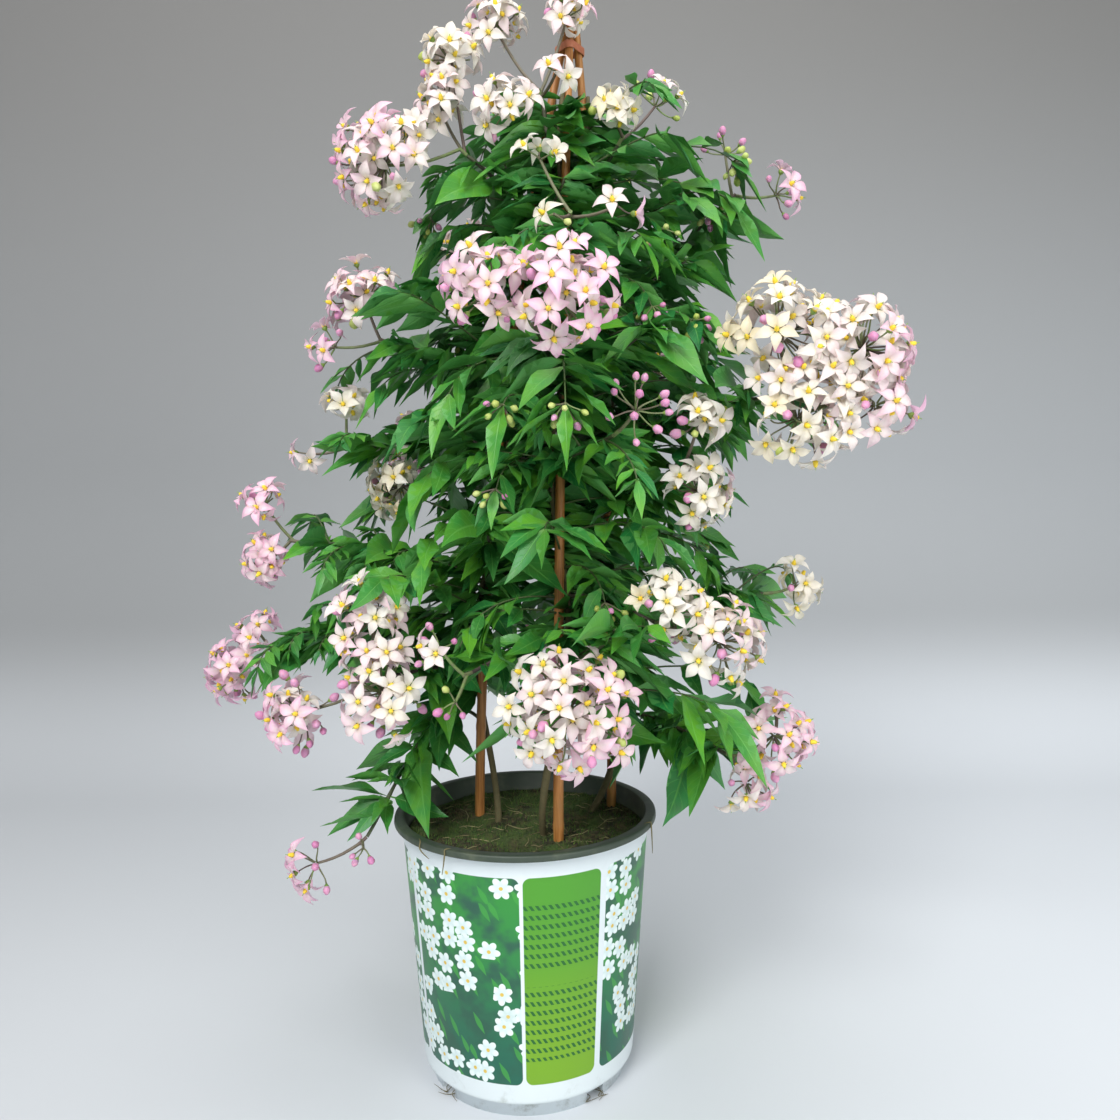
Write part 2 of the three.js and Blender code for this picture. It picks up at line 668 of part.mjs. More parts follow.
// A bloom is a star of five petals bent back from a raised middle
function bloomSolid(site, lobe) {
  const { at, direction, spin, reach } = site;
  const rim = [];
  const petals = [];
  for (let i = 0; i < 10; i++) {
    const notch = i % 2 === 1;
    const out = plus(at, squareTo(direction, spin + (Math.PI * i) / 5), reach * (notch ? BLOOM_NOTCH : 1));
    rim.push(plus(out, direction, notch ? BLOOM_DOME : -BLOOM_DOME));
    if (!notch) petals.push([i, (i + 9) % 10, (i + 1) % 10]);
  }
  return capSolid(rim, [...petals, [1, 5, 3], [1, 7, 5], [1, 9, 7]], rootCorners(site, lobe));
}

// A bud is a four-sided drop
function budSolid(site, lobe) {
  const { at, direction, spin } = site;
  const rim = [0, 1, 2, 3].map((i) => plus(at, squareTo(direction, spin + (Math.PI * i) / 2), BUD_RADIUS));
  rim[0] = plus(rim[0], direction, BUD_LENGTH);
  rim[2] = plus(rim[2], direction, BUD_LENGTH);
  return capSolid(rim, [[0, 3, 1], [1, 3, 2]], rootCorners(site, lobe));
}

// A stalk's section at a point: a small triangle square to its direction
function stalkCorners(point, direction) {
  return [0, 1, 2].map((i) => plus(point, squareTo(direction, (2 * Math.PI * i) / 3), STALK_RADIUS));
}

// A lobe's stalk runs from its start to the lobe's back and on to a point at the lobe's middle
function stalkSolid(start, lobe) {
  const direction = unit(minus(lobe.hub, start));
  const first = stalkCorners(start, direction);
  const last = stalkCorners(lobe.tail, direction);
  const triangles = [[0, 2, 1]];
  for (let k = 0; k < 3; k++) {
    const next = (k + 1) % 3;
    triangles.push([k, next, 3 + next], [k, 3 + next, 3 + k], [3 + k, 3 + next, 6]);
  }
  return solid([...first, ...last, lobe.hub], triangles);
}

// The core of a lobe is the smallest body around the roots of its blooms and the end of its stalk
function coreSolid(lobe) {
  const tail = stalkCorners(lobe.tail, unit(minus(lobe.hub, lobe.tail)));
  const points = [...lobe.sites.flatMap((site) => rootCorners(site, lobe)), ...tail];
  const corners = points.map((p) => new THREE.Vector3(...p));
  const triangles = new ConvexHull().setFromPoints(corners).faces.map((face) => {
    const ends = [face.edge.prev, face.edge, face.edge.next];
    return ends.map((edge) => corners.indexOf(edge.head().point));
  });
  return solid(points, triangles);
}

// Nodes

// The outside radius of the pot's body at a height
function slope(z) {
  const share = (z - FOOT_HEIGHT) / (POT_HEIGHT - FOOT_HEIGHT);
  return BODY_FOOT_RADIUS + (BODY_TOP_RADIUS - BODY_FOOT_RADIUS) * share;
}

function potSolid() {
  const underLip = POT_HEIGHT - LIP_HEIGHT;
  const inFoot = FOOT_RADIUS - FOOT_RING_WIDTH;
  const rise = CHANNEL_HEIGHT;
  const profile = [
    [0, 0],
    [PAD_RADIUS, 0],
    [PAD_RADIUS + 2, rise],
    [inFoot - 2, rise],
    [inFoot, 0],
    [FOOT_RADIUS, 0],
    [FOOT_RADIUS + 0.8, FOOT_HEIGHT - 0.6],
    [BODY_FOOT_RADIUS, FOOT_HEIGHT],
    [slope(underLip), underLip],
    [RIM_RADIUS, underLip],
    [RIM_RADIUS - 0.6, POT_HEIGHT],
    [slope(POT_HEIGHT) - WALL, POT_HEIGHT],
    [slope(FOOT_HEIGHT + 2) - WALL, FOOT_HEIGHT + 2],
    [inFoot + 1, rise + FLOOR],
    [PAD_RADIUS - 1, rise + FLOOR],
    [PAD_RADIUS - 3, FLOOR],
    [0, FLOOR],
  ];
  let body = solidOf(lathe(profile));
  for (const angle of NOTCH_ANGLES) {
    const notch = new THREE.BoxGeometry(NOTCH_WIDTH, 30, NOTCH_HEIGHT * 2);
    notch.translate(0, -FOOT_RADIUS, 0).rotateZ(radians(angle));
    body = body.subtract(solidOf(notch));
  }
  for (let i = 0; i < DRAIN_HOLES; i++) {
    const drain = new THREE.CylinderGeometry(DRAIN_RADIUS, DRAIN_RADIUS, 40, 6).rotateX(Math.PI / 2);
    const a = (2 * Math.PI * (i + 0.5)) / DRAIN_HOLES;
    const r = (PAD_RADIUS + inFoot) / 2;
    body = body.subtract(solidOf(drain.translate(r * Math.cos(a), r * Math.sin(a), 0)));
  }
  return body;
}

const soilHeight = (x, y) =>
  SOIL_TOP + SOIL_RELIEF * (Math.sin(x / 13 + 1.2) * Math.cos(y / 17) + 0.5 * Math.sin((x + 2 * y) / 11));

function soilSolid() {
  const inside = (z) => slope(z) - WALL - GAP;
  const low = FOOT_HEIGHT + 4;
  const top = SOIL_TOP;
  const profile = [[0, low], [inside(low) - 2, low], [inside(top), top], [44, top], [0, top]];
  const shape = lathe(profile);
  const p = shape.getAttribute("position");
  for (let i = 0; i < p.count; i++) {
    const inner = Math.hypot(p.getX(i), p.getY(i)) < inside(top) - 1;
    if (p.getZ(i) === Math.fround(top) && inner) p.setZ(i, soilHeight(p.getX(i), p.getY(i)));
  }
  let body = solidOf(shape);
  for (const cane of CANES) {
    const hole = [caneAt(cane, caneShare(CANE_FOOT - GAP)), caneAt(cane, 0), caneAt(cane, 0.02)];
    body = body.subtract(bar(hole, hole.map(() => (CANE_RADIUS[0] + GAP) * 1.22), 6));
    const root = [plus(vineAt(cane, 0), UP, VINE_FOOT - SOIL_TOP - GAP), vineAt(cane, 0), vineAt(cane, 0.02)];
    body = body.subtract(bar(root, root.map(() => (VINE_RADIUS[0] + GAP) * 1.3), 5));
  }
  return body;
}

function caneSolid(cane) {
  const low = caneShare(CANE_FOOT);
  const points = [caneAt(cane, low), ...along((s) => caneAt(cane, s), 8)];
  return bar(points, points.map((p) => caneRadius(caneShare(p[2]))), 7);
}

// The outline of a cord drawn tight round the three canes, a distance away from them
function roundCanes(distance) {
  const middle = new THREE.Vector2(TOP[0], TOP[1]);
  const points = CANES.flatMap((cane) => {
    const [x, y] = caneAt(cane, caneShare(TIE_LEVEL));
    const outward = Math.atan2(y - TOP[1], x - TOP[0]);
    return [-50, 0, 50].map((turn) => {
      const a = outward + radians(turn);
      return new THREE.Vector2(x + distance * Math.cos(a), y + distance * Math.sin(a));
    });
  });
  return points.sort((p, q) => p.clone().sub(middle).angle() - q.clone().sub(middle).angle());
}

function tieSolid() {
  const inner = caneRadius(1) + GAP + 0.4;
  const ring = new THREE.Shape(roundCanes(inner + TIE_THICKNESS));
  ring.holes.push(new THREE.Path(roundCanes(inner)));
  const band = new THREE.ExtrudeGeometry(ring, { depth: TIE_WIDTH, bevelEnabled: false });
  return solidOf(band.translate(0, 0, TIE_LEVEL - TIE_WIDTH / 2));
}

// A stem's line starts at its root in the compost, below the share of nought
function vineSolid(vine) {
  const { cane } = vine;
  const deep = (SOIL_TOP - VINE_FOOT) / (TOP[2] - SOIL_TOP);
  const down = (s) => plus(vineAt(cane, 0), UP, (s / deep) * (SOIL_TOP - VINE_FOOT));
  const line = (s) => (s < 0 ? down(s) : vineAt(cane, s));
  const shifted = vine.leaves.map((leaf) => ({ ...leaf, s: leaf.s + deep }));
  const whole = VINE_END + deep;
  const parts = stemSolids((s) => line(s - deep), 24, (s) => vineRadius(s - deep), 5, shifted, whole);
  for (const twig of vine.twigs) parts.push(...stemSolids(twig.line, 3, () => 1.2, 3, twig.leaves));
  return fused(parts);
}

function boughSolid(bough) {
  return fused(stemSolids(bough.line, 6, (s) => 1.45 - 0.15 * s, 3, bough.leaves));
}

function headSolid(head) {
  const peduncle = bar([head.entry, plus(head.fork, head.inward, -1)], [1.3, 1.5], 3);
  const parts = [peduncle];
  for (const lobe of head.lobes) {
    parts.push(stalkSolid(lobe.start, lobe), coreSolid(lobe));
    for (const site of lobe.sites) parts.push(site.bud ? budSolid(site, lobe) : bloomSolid(site, lobe));
  }
  return fused(parts);
}

const group = new THREE.Group();

function addNode(name, body, colour, roughness) {
  const made = body.getMesh();
  const positions = new Float32Array(made.numVert * 3);
  for (let i = 0; i < made.numVert; i++) {
    positions.set(made.vertProperties.subarray(i * made.numProp, i * made.numProp + 3), i * 3);
  }
  const geometry = new THREE.BufferGeometry();
  geometry.setAttribute("position", new THREE.BufferAttribute(positions, 3));
  geometry.setIndex(new THREE.BufferAttribute(made.triVerts, 1));
  geometry.computeVertexNormals();
  const color = new THREE.Color(...colour);
  const material = new THREE.MeshStandardMaterial({ color, roughness, metalness: 0 });
  const mesh = new THREE.Mesh(geometry, material);
  mesh.name = name;
  group.add(mesh);
}

addNode("pot", potSolid(), COLOURS.pot, 0.45);
addNode("soil", soilSolid(), COLOURS.soil, 0.95);
for (const cane of canesLaid) addNode("cane_" + cane.name, caneSolid(cane), COLOURS.cane, 0.6);
addNode("cane_tie", tieSolid(), COLOURS.tie, 0.6);
for (const vine of vines) addNode(vine.owner, vineSolid(vine), COLOURS.leaf, 0.5);
for (const bough of boughs) addNode(bough.owner, boughSolid(bough), COLOURS.leaf, 0.5);
for (const head of heads) addNode(head.owner, headSolid(head), COLOURS.bloom, 0.6);
export default group;
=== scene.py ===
# The looks of a potato vine in its nursery pot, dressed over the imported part.
# Blender works in metres. The plant's layout is worked out in millimetres, as the part's own layout is.
import math

import bmesh
import bpy
import numpy as np
from mathutils import Euler, Matrix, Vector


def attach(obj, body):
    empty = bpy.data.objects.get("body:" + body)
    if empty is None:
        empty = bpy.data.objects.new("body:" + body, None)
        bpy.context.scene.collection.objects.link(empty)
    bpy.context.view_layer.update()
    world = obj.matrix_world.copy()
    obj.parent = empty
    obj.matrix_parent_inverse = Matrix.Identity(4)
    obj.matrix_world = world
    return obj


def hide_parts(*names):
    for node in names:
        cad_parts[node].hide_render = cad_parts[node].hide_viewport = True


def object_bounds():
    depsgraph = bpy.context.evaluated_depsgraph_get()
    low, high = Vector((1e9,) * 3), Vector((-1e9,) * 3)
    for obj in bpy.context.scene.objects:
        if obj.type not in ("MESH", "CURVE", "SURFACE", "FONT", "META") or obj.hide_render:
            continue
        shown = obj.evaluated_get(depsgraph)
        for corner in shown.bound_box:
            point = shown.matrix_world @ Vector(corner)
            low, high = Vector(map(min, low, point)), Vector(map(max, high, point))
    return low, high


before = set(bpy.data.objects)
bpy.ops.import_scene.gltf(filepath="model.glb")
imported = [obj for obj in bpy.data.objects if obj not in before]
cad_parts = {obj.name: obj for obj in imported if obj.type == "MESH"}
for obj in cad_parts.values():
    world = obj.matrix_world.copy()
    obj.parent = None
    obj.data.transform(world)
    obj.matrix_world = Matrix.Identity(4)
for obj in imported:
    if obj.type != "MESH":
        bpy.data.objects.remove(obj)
packed_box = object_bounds()
MM = 0.001

# Pot and compost, in millimetres
RIM_RADIUS = 95
POT_HEIGHT = 186
LIP_HEIGHT = 4.5
BODY_TOP_RADIUS = 89.5
BODY_FOOT_RADIUS = 76.6
WALL = 2
FOOT_HEIGHT = 11
FOOT_RADIUS = 71
FOOT_RING_WIDTH = 5
CHANNEL_HEIGHT = 5
FLOOR = 2.5
PAD_RADIUS = 48
NOTCH_ANGLES = [-50, 41, 131, 221]
NOTCH_WIDTH = 15
NOTCH_HEIGHT = 7
DRAIN_HOLES = 6
DRAIN_RADIUS = 4
SOIL_TOP = 172
SOIL_RELIEF = 2.2
GAP = 0.35

# Canes and woody stems, in millimetres
TOP = [41, 5, 742]
TOP_SPREAD = 3.7
TIE_LEVEL = 727
TIE_WIDTH = 5
TIE_THICKNESS = 1.1
CANE_FOOT = 92
CANE_RADIUS = [3.7, 2.8]
CANES = [
    {"name": "front", "base": [24, -34], "bow": 6, "lean": -105},
    {"name": "right", "base": [65, 40], "bow": 15, "lean": 30},
    {"name": "left", "base": [-36, 25], "bow": 16, "lean": 160},
]
VINE_RADIUS = [2.6, 1.3]
VINE_TURNS = 2.5
VINE_CLEARANCE = 1
BOUGH_GAP = 0.55
VINE_FOOT = 150
VINE_END = 0.92
ROOT_SPREAD = 11
VINE_NODES = 11
VINE_TWIGS = 7
TWIG_LENGTH = [46, 86]

# Trials until a place is clear: how many, and the step between them as a share of the stem or as an angle
BOUGH_TRIALS = [60, 0.006]
LEAF_TRIALS = [16, 0.38]
TWIG_TRIALS = [12, 0.25]
BOUGH_LOWEST = 0.045

# Room that the rim and the compost take: how many balls go round, and the radii of the compost's rings
ROUND_BALLS = 48
SOIL_RINGS = [12, 28, 44, 60, 76]

# Leaves and blooms, in millimetres
LEAF_LENGTH = [44, 74]
LEAF_WIDTH = 0.41
LEAF_HANG = [-0.55, 0.3]
LEAF_ROOM = 3.4
STEM_ROOM = 3
BLOOM_RADIUS = 11.5
CORE_SHARE = 0.48
HEAD_COVER = 0.54
HEAD_RELIEF = 0.16
GOLDEN_ANGLE = math.pi * (3 - math.sqrt(5))

# Flower heads: the stem that each is on and the share of its height, the leaf pairs on its bough, how pink
# and how creamy it is, and its lobes [x, y, z, outer radius, blooms, buds]
HEADS = [
    ("top", "front", 0.83, 3, 0.3, 0.25,
     [[-11, 0, 738, 22, 7, 0], [38, -16, 738, 17, 4, 0], [-3, -50, 664, 20, 6, 0], [30, -42, 690, 12, 2, 0]]),
    ("top_left", "left", 0.78, 3, 0.35, 0.3,
     [[-86, -30, 636, 36, 18, 0], [-49, -12, 677, 18, 4, 0], [-42, -10, 713, 21, 6, 0]]),
    ("upper_front", "front", 0.7, 2, 0.3, 0.4,
     [[19, -66, 625, 15, 3, 0], [27, -95, 582, 12, 1, 1], [66, -84, 590, 13, 2, 0]]),
    ("upper_right", "right", 0.8, 3, 0.2, 0.6, [[68, -30, 669, 16, 3, 0], [99, 0, 685, 20, 2, 6]]),
    ("right_spray", "right", 0.66, 4, 0.7, 0.2, [[186, 10, 626, 18, 3, 4], [150, 10, 655, 16, 0, 6]]),
    ("centre", "front", 0.56, 2, 0.6, 0.05, [[30, -136, 522, 33, 14, 0], [-12, -128, 530, 26, 8, 0]]),
    ("left_upper", "left", 0.58, 4, 0.75, 0.1, [[-108, 0, 554, 27, 9, 0], [-130, 0, 521, 19, 3, 3]]),
    ("left_wisp", "left", 0.4, 5, 0.3, 0.3, [[-128, 20, 480, 18, 3, 0], [-155, 20, 447, 15, 2, 0]]),
    ("left_mid", "left", 0.33, 4, 0.8, 0, [[-180, 0, 372, 20, 5, 1], [-184, 0, 410, 17, 3, 0]]),
    ("left_inner", "left", 0.47, 3, 0.1, 1, [[-90, 24, 423, 26, 8, 1]]),
    ("left_outer", "left", 0.265, 4, 0.85, 0, [[-215, 20, 287, 24, 7, 0], [-198, 20, 315, 18, 3, 0]]),
    ("left_low", "left", 0.2, 3, 0.45, 0.1,
     [[-88, -74, 287, 28, 9, 0], [-96, -62, 334, 27, 8, 0], [-150, -40, 268, 28, 6, 6]]),
    ("front_buds", "front", 0.26, 2, 0.6, 0.4, [[-48, -92, 318, 16, 2, 4], [-38, -100, 286, 13, 0, 4]]),
    ("front_low", "front", 0.16, 3, 0.5, 0.1, [[32, -118, 283, 40, 24, 0]]),
    ("right_mid", "front", 0.3, 3, 0.2, 0.35, [[126, -92, 320, 28, 11, 0], [94, -92, 342, 24, 7, 0]]),
    ("right_small", "right", 0.28, 4, 0.05, 0.6, [[200, 12, 345, 18, 4, 0]]),
    ("right_low", "right", 0.13, 5, 0.55, 0.05, [[168, -60, 252, 27, 9, 0], [150, -58, 220, 19, 4, 0]]),
    ("right_big", "right", 0.5, 3, 0.35, 0.45,
     [[160, -104, 508, 33, 14, 0], [210, -106, 497, 31, 12, 0], [172, -104, 456, 30, 11, 0],
      [218, -106, 463, 24, 6, 0]]),
    ("right_inner", "right", 0.4, 3, 0.3, 0.7, [[118, -62, 414, 23, 7, 0], [116, -84, 458, 16, 3, 2]]),
    ("bud_spray", "front", 0.44, 2, 0.9, 0, [[74, -110, 462, 22, 0, 12]]),
    ("low_left", "left", 0.12, 3, 0.95, 0, [[-146, -30, 158, 22, 4, 4], [-112, -34, 170, 12, 0, 4]]),
    ("back_top", "left", 0.7, 4, 0.4, 0.2, [[-40, 92, 610, 27, 9, 0]]),
    ("back_right", "right", 0.58, 5, 0.5, 0.2, [[108, 118, 520, 28, 10, 0]]),
    ("back_left", "left", 0.52, 5, 0.6, 0.1, [[-96, 112, 458, 25, 8, 0]]),
    ("back_low", "right", 0.22, 5, 0.4, 0.2, [[40, 158, 318, 30, 11, 0]]),
]
BOUGH_RISE = {"low_left": 0.45}

UP = np.array([0.0, 0.0, 1.0])
SIDE = np.array([1.0, 0.0, 0.0])


def vec(x, y, z):
    return np.array([x, y, z], float)


def cross(a, b):
    return vec(a[1] * b[2] - a[2] * b[1], a[2] * b[0] - a[0] * b[2], a[0] * b[1] - a[1] * b[0])


def size(a):
    return math.sqrt(a[0] * a[0] + a[1] * a[1] + a[2] * a[2])


def unit(a):
    return a / size(a)


def mixed(a, b, t):
    return a * (1 - t) + b * t


def between(ends, share):
    return ends[0] + (ends[1] - ends[0]) * share


def level(a):
    """The unit vector along the ground under a."""
    return unit(vec(a[0], a[1], 0))


def compass(a):
    return math.atan2(a[1], a[0])


def seeded(seed):
    """The same run of random numbers from 0 to 1 for the same seed."""
    state = seed * 7919 + 17

    def draw():
        nonlocal state
        state = state * 16807 % 2147483647
        return state / 2147483647

    return draw


def bezier(p, t):
    s = 1 - t
    return p[0] * (s * s * s) + p[1] * (3 * s * s * t) + p[2] * (3 * s * t * t) + p[3] * (t * t * t)


def square_to(direction, angle):
    """A unit vector square to direction, turned by angle about it."""
    across = SIDE if abs(direction[2]) > 0.92 else UP
    u = unit(cross(direction, across))
    v = cross(direction, u)
    return u * math.cos(angle) + v * math.sin(angle)


# Layout: where every cane, stem, bough, leaf and bloom goes


def cane_at(cane, t):
    lean = math.radians(cane["lean"])
    top = vec(TOP[0] + TOP_SPREAD * math.cos(lean), TOP[1] + TOP_SPREAD * math.sin(lean), TOP[2])
    x, y = cane["base"]
    base = vec(x, y, SOIL_TOP)
    if t < 0:
        return base + UP * (t * (TOP[2] - SOIL_TOP)) + vec(x, y, 0) * (t * 0.5)
    out = unit(vec(x - TOP[0], y - TOP[1], 0))
    return mixed(base, top, t) + out * (cane["bow"] * 4 * t * (1 - t))


def cane_share(z):
    return (z - SOIL_TOP) / (TOP[2] - SOIL_TOP)


def cane_radius(t):
    return between(CANE_RADIUS, max(0, t))


def vine_radius(t):
    return between(VINE_RADIUS, max(0, t))


def vine_at(cane, t):
    """A stem winds round its cane, and its foot swings in towards the middle of the pot."""
    x, y = cane["base"]
    turn = math.atan2(-y, -x) + 2 * math.pi * VINE_TURNS * max(0, t)
    away = cane_radius(t) + vine_radius(t) + VINE_CLEARANCE + ROOT_SPREAD * math.exp(-22 * max(0, t))
    return cane_at(cane, t) + vec(math.cos(turn), math.sin(turn), 0) * away


ROOM_BALLS = 120000


class Room:
    """What is taken already: balls with an owner."""

    def __init__(self):
        self.points = np.zeros((ROOM_BALLS, 3))
        self.radii = np.zeros(ROOM_BALLS)
        self.owners = []
        self.kinds = []

    def take(self, points, radius, owner, kind):
        for p in points:
            self.points[len(self.owners)] = p
            self.radii[len(self.owners)] = radius
            self.owners.append(owner)
            self.kinds.append(kind)

    def is_clear(self, points, radius, own, kind=None, ease=1.0):
        """Whether balls at points touch none of another owner's. ease shrinks the leaves' own room."""
        points = np.array(points)
        count = len(self.owners)
        middle = points.mean(axis=0)
        spread = np.sqrt(((points - middle) ** 2).sum(axis=1)).max()
        far = np.sqrt(((self.points[:count] - middle) ** 2).sum(axis=1))
        for i in np.nonzero(far < spread + radius + self.radii[:count] + 1)[0]:
            if self.owners[i] in own and self.kinds[i] != kind:
                continue
            reach = self.radii[i] * (ease if self.kinds[i] in ("leaf", "sprout") else 1) + radius
            if (((points - self.points[i]) ** 2).sum(axis=1) < reach * reach).any():
                return False
        return True


room = Room()


def along(curve, count):
    return [curve(i / count) for i in range(count + 1)]


def cane_named(name):
    return next(c for c in CANES if c["name"] == name)


def swing(trial, step):
    """Trials go round on both sides in turn: 0, +1, -1, +2, -2 steps."""
    return math.ceil(trial / 2) * (step if trial % 2 else -step)


def lay_head(head, index):
    """The peduncle's fork stands on the plant's side of a head. Blooms cover the outer half of each lobe."""
    name, vine, leave, leaves, blush, cream, rows = head
    owner = "head_" + name
    random = seeded(100 + index)
    hubs = [vec(*row[:3]) for row in rows]
    middle = sum(hubs) / len(hubs)
    widest = max(row[3] for row in rows)
    inward = unit(vine_at(cane_named(vine), leave) - middle)
    fork = middle + inward * (widest * (0.8 if len(rows) > 1 else 0.9)) - UP * 4
    entry = fork + inward * 6
    front = 0 if name.startswith("back") else 0.9
    lobes = []
    for (x, y, z, radius, blooms, buds), hub in zip(rows, hubs):
        facing = unit(unit(hub - fork) - inward * 0.8 + vec(0, -1, 0.2) * front)
        core = max(4.5, radius * CORE_SHARE)
        wanted = blooms + buds
        sites = []
        for i in range(wanted):
            rise = 1 - (2 * HEAD_COVER * (i + 0.5)) / wanted
            flat = square_to(facing, i * GOLDEN_ANGLE + random() * 0.3)
            direction = unit(facing * rise + flat * math.sqrt(max(0, 1 - rise * rise)))
            at = hub + direction * (radius - 1 - random() * HEAD_RELIEF * radius)
            hidden = any(size(hub - h) > 1 and size(at - h) < r[3] * 0.75 for h, r in zip(hubs, rows))
            faced = unit(direction + facing * 0.4)
            spin = random() * 2 * math.pi
            if not hidden:
                sites.append({
                    "at": at, "radial": direction, "direction": faced, "spin": spin, "bud": i >= blooms,
                })
        lobes.append({"hub": hub, "radius": radius, "facing": facing, "core": core, "sites": sites})
    for i, lobe in enumerate(lobes):
        lobe["start"] = fork + inward * min(4.5, i * 2.2)
    for lobe in lobes:
        room.take([lobe["hub"]], math.hypot(lobe["radius"] - 3, BLOOM_RADIUS * 0.75), owner, "head")
    for lobe in lobes:
        room.take(along(lambda s, h=lobe["hub"]: mixed(fork, h, s), 6), STEM_ROOM, owner, "head")
    room.take(along(lambda s: mixed(entry, fork, s), 2), STEM_ROOM, owner, "head")
    return {
        "name": name, "vine": vine, "leave": leave, "leaves": leaves, "blush": blush, "cream": cream,
        "owner": owner, "inward": inward, "fork": fork, "entry": entry, "lobes": lobes, "index": index,
    }


def lay_bough(head):
    """A bough leaves its stem on the side of its head, never through the cane, and arches to the head."""
    cane = cane_named(head["vine"])
    owner = "bough_" + head["name"]
    own = [owner, "vine_" + head["vine"], "cane_" + head["vine"]]
    trials, step = BOUGH_TRIALS
    for trial in range(trials):
        t = head["leave"] - swing(trial, -step)
        if t < BOUGH_LOWEST or t > VINE_END - 0.01:
            continue
        axis = vine_at(cane, t)
        away = level(axis - cane_at(cane, t))
        wish = level(head["entry"] - axis)
        inline = float(wish @ away)
        if inline < -0.75:
            continue
        out = wish if inline > 0 else unit(wish + away * (0.05 - inline))
        start = axis + out * (vine_radius(t) + BOUGH_GAP)
        end = head["entry"] + head["inward"] * 0.45
        far = size(end - start)
        rise = BOUGH_RISE.get(head["name"], 0.12) * far
        first = start + out * min(60, far * 0.3) + UP * (rise * 0.6)
        last = end + head["inward"] * min(50, far * 0.3) + UP * (rise * 0.4)

        def line(s, p=(start, first, last, end)):
            return bezier(p, s)

        points = along(line, math.ceil(far / 4))
        if not room.is_clear(points[:4], 2, own):
            continue
        if not room.is_clear(points[4:-1], 2, [owner, head["owner"]]):
            continue
        room.take(points, STEM_ROOM - 1, owner, "stem")
        return {"owner": owner, "head": head, "line": line, "far": far, "leaves": []}
    raise RuntimeError("no way for " + owner)


# Balls in a leaf's room: shares of its length along the rib, and along its two edges
RIB_BALLS = [0.09, 0.18, 0.28, 0.38, 0.48, 0.58, 0.68, 0.78, 0.88, 0.97]
EDGE_BALLS = [0.28, 0.4, 0.55, 0.68]


def leaf_frame(leaf):
    """The directions to a leaf's side and out of its face."""
    direction = leaf["direction"]
    across = unit(cross(direction, UP))
    side = across * math.cos(leaf["roll"]) + cross(direction, across) * math.sin(leaf["roll"])
    return side, unit(cross(side, direction))


def make_leaf(base, s, direction, length, share, roll, droop):
    return {
        "base": base, "s": s, "direction": unit(direction), "length": length, "width": length * share,
        "roll": roll, "droop": droop,
    }


def rib_at(leaf, s):
    length = leaf["length"]
    return leaf["base"] + leaf["direction"] * (length * s) - UP * (leaf["droop"] * length * s * s)


def leaf_balls(leaf):
    side, face = leaf_frame(leaf)
    half = leaf["width"] * 0.5
    ways = [side * (a * half) for a in (0.7, -0.7)]
    edges = [rib_at(leaf, s) + way + face * (0.1 * half) for s in EDGE_BALLS for way in ways]
    return [rib_at(leaf, s) for s in RIB_BALLS] + edges


def lay_leaf(owner, line, s, tangent, angle, length, random, own):
    """A leaf stands out from its stem and hangs a little. It is turned round its stem until it is clear."""
    base = line(s)
    hang = between(LEAF_HANG, random())
    droop = 0.1 + random() * 0.22
    roll = (-1 if random() < 0.5 else 1) * (0.25 + 0.85 * random())
    trials, step = LEAF_TRIALS
    for trial in range(trials):
        out = square_to(tangent, angle + swing(trial, step)) + tangent * 0.35
        flat = math.hypot(out[0], out[1])
        if flat < 0.3:
            continue
        rise = 0.4 * max(-1, min(1, out[2] / flat)) + hang + 0.05 * (trial % 3)
        direction = vec(out[0] / flat, out[1] / flat, rise)
        leaf = make_leaf(base, s, direction, length * 0.8 if trial > 9 else length, LEAF_WIDTH, roll, droop)
        balls = leaf_balls(leaf)
        if not room.is_clear(balls, LEAF_ROOM, [owner], "leaf"):
            continue
        room.take(balls, LEAF_ROOM, owner, "leaf")
        own.append(leaf)
        return


def leaf_size(z, random):
    low = 1 - min(1, max(0, (z - 200) / 520))
    return between(LEAF_LENGTH, 0.35 * low + 0.65 * random())


def lay_pair(owner, line, s, tangent, angle, random, own):
    """A node of a stem bears a large leaf and a smaller one on the other side."""
    length = leaf_size(line(s)[2], random)
    lay_leaf(owner, line, s, tangent, angle, length, random, own)
    lay_leaf(owner, line, s, tangent, angle + 2.2 + random(), length * 0.78, random, own)


def lay_twig(vine, t, random):
    """A side shoot goes out from a stem, away from the cane, where there is room for it."""
    axis = vine_at(vine["cane"], t)
    outward = compass(axis - cane_at(vine["cane"], t))
    far = between(TWIG_LENGTH, random())
    trials, step = TWIG_TRIALS
    for trial in range(trials):
        turn = outward + swing(trial, step)
        out = vec(math.cos(turn), math.sin(turn), 0)
        tip = axis + out * far + UP * (far * 0.35)

        def line(s, p=(axis, axis + out * (far * 0.4), tip - UP * (far * 0.1), tip)):
            return bezier(p, s)

        points = along(line, 16)
        if not room.is_clear(points[1:], 3, [vine["owner"]]):
            continue
        if not room.is_clear(points[3:], 3, []):
            continue
        room.take(points, STEM_ROOM - 1, vine["owner"], "stem")
        twig = {"line": line, "leaves": []}
        vine["twigs"].append(twig)
        for s in (0.92, 0.58):
            tangent = unit(line(s + 0.05) - line(s - 0.05))
            angle = random() * 6
            lay_pair(vine["owner"], line, s, tangent, angle, random, twig["leaves"])
        return


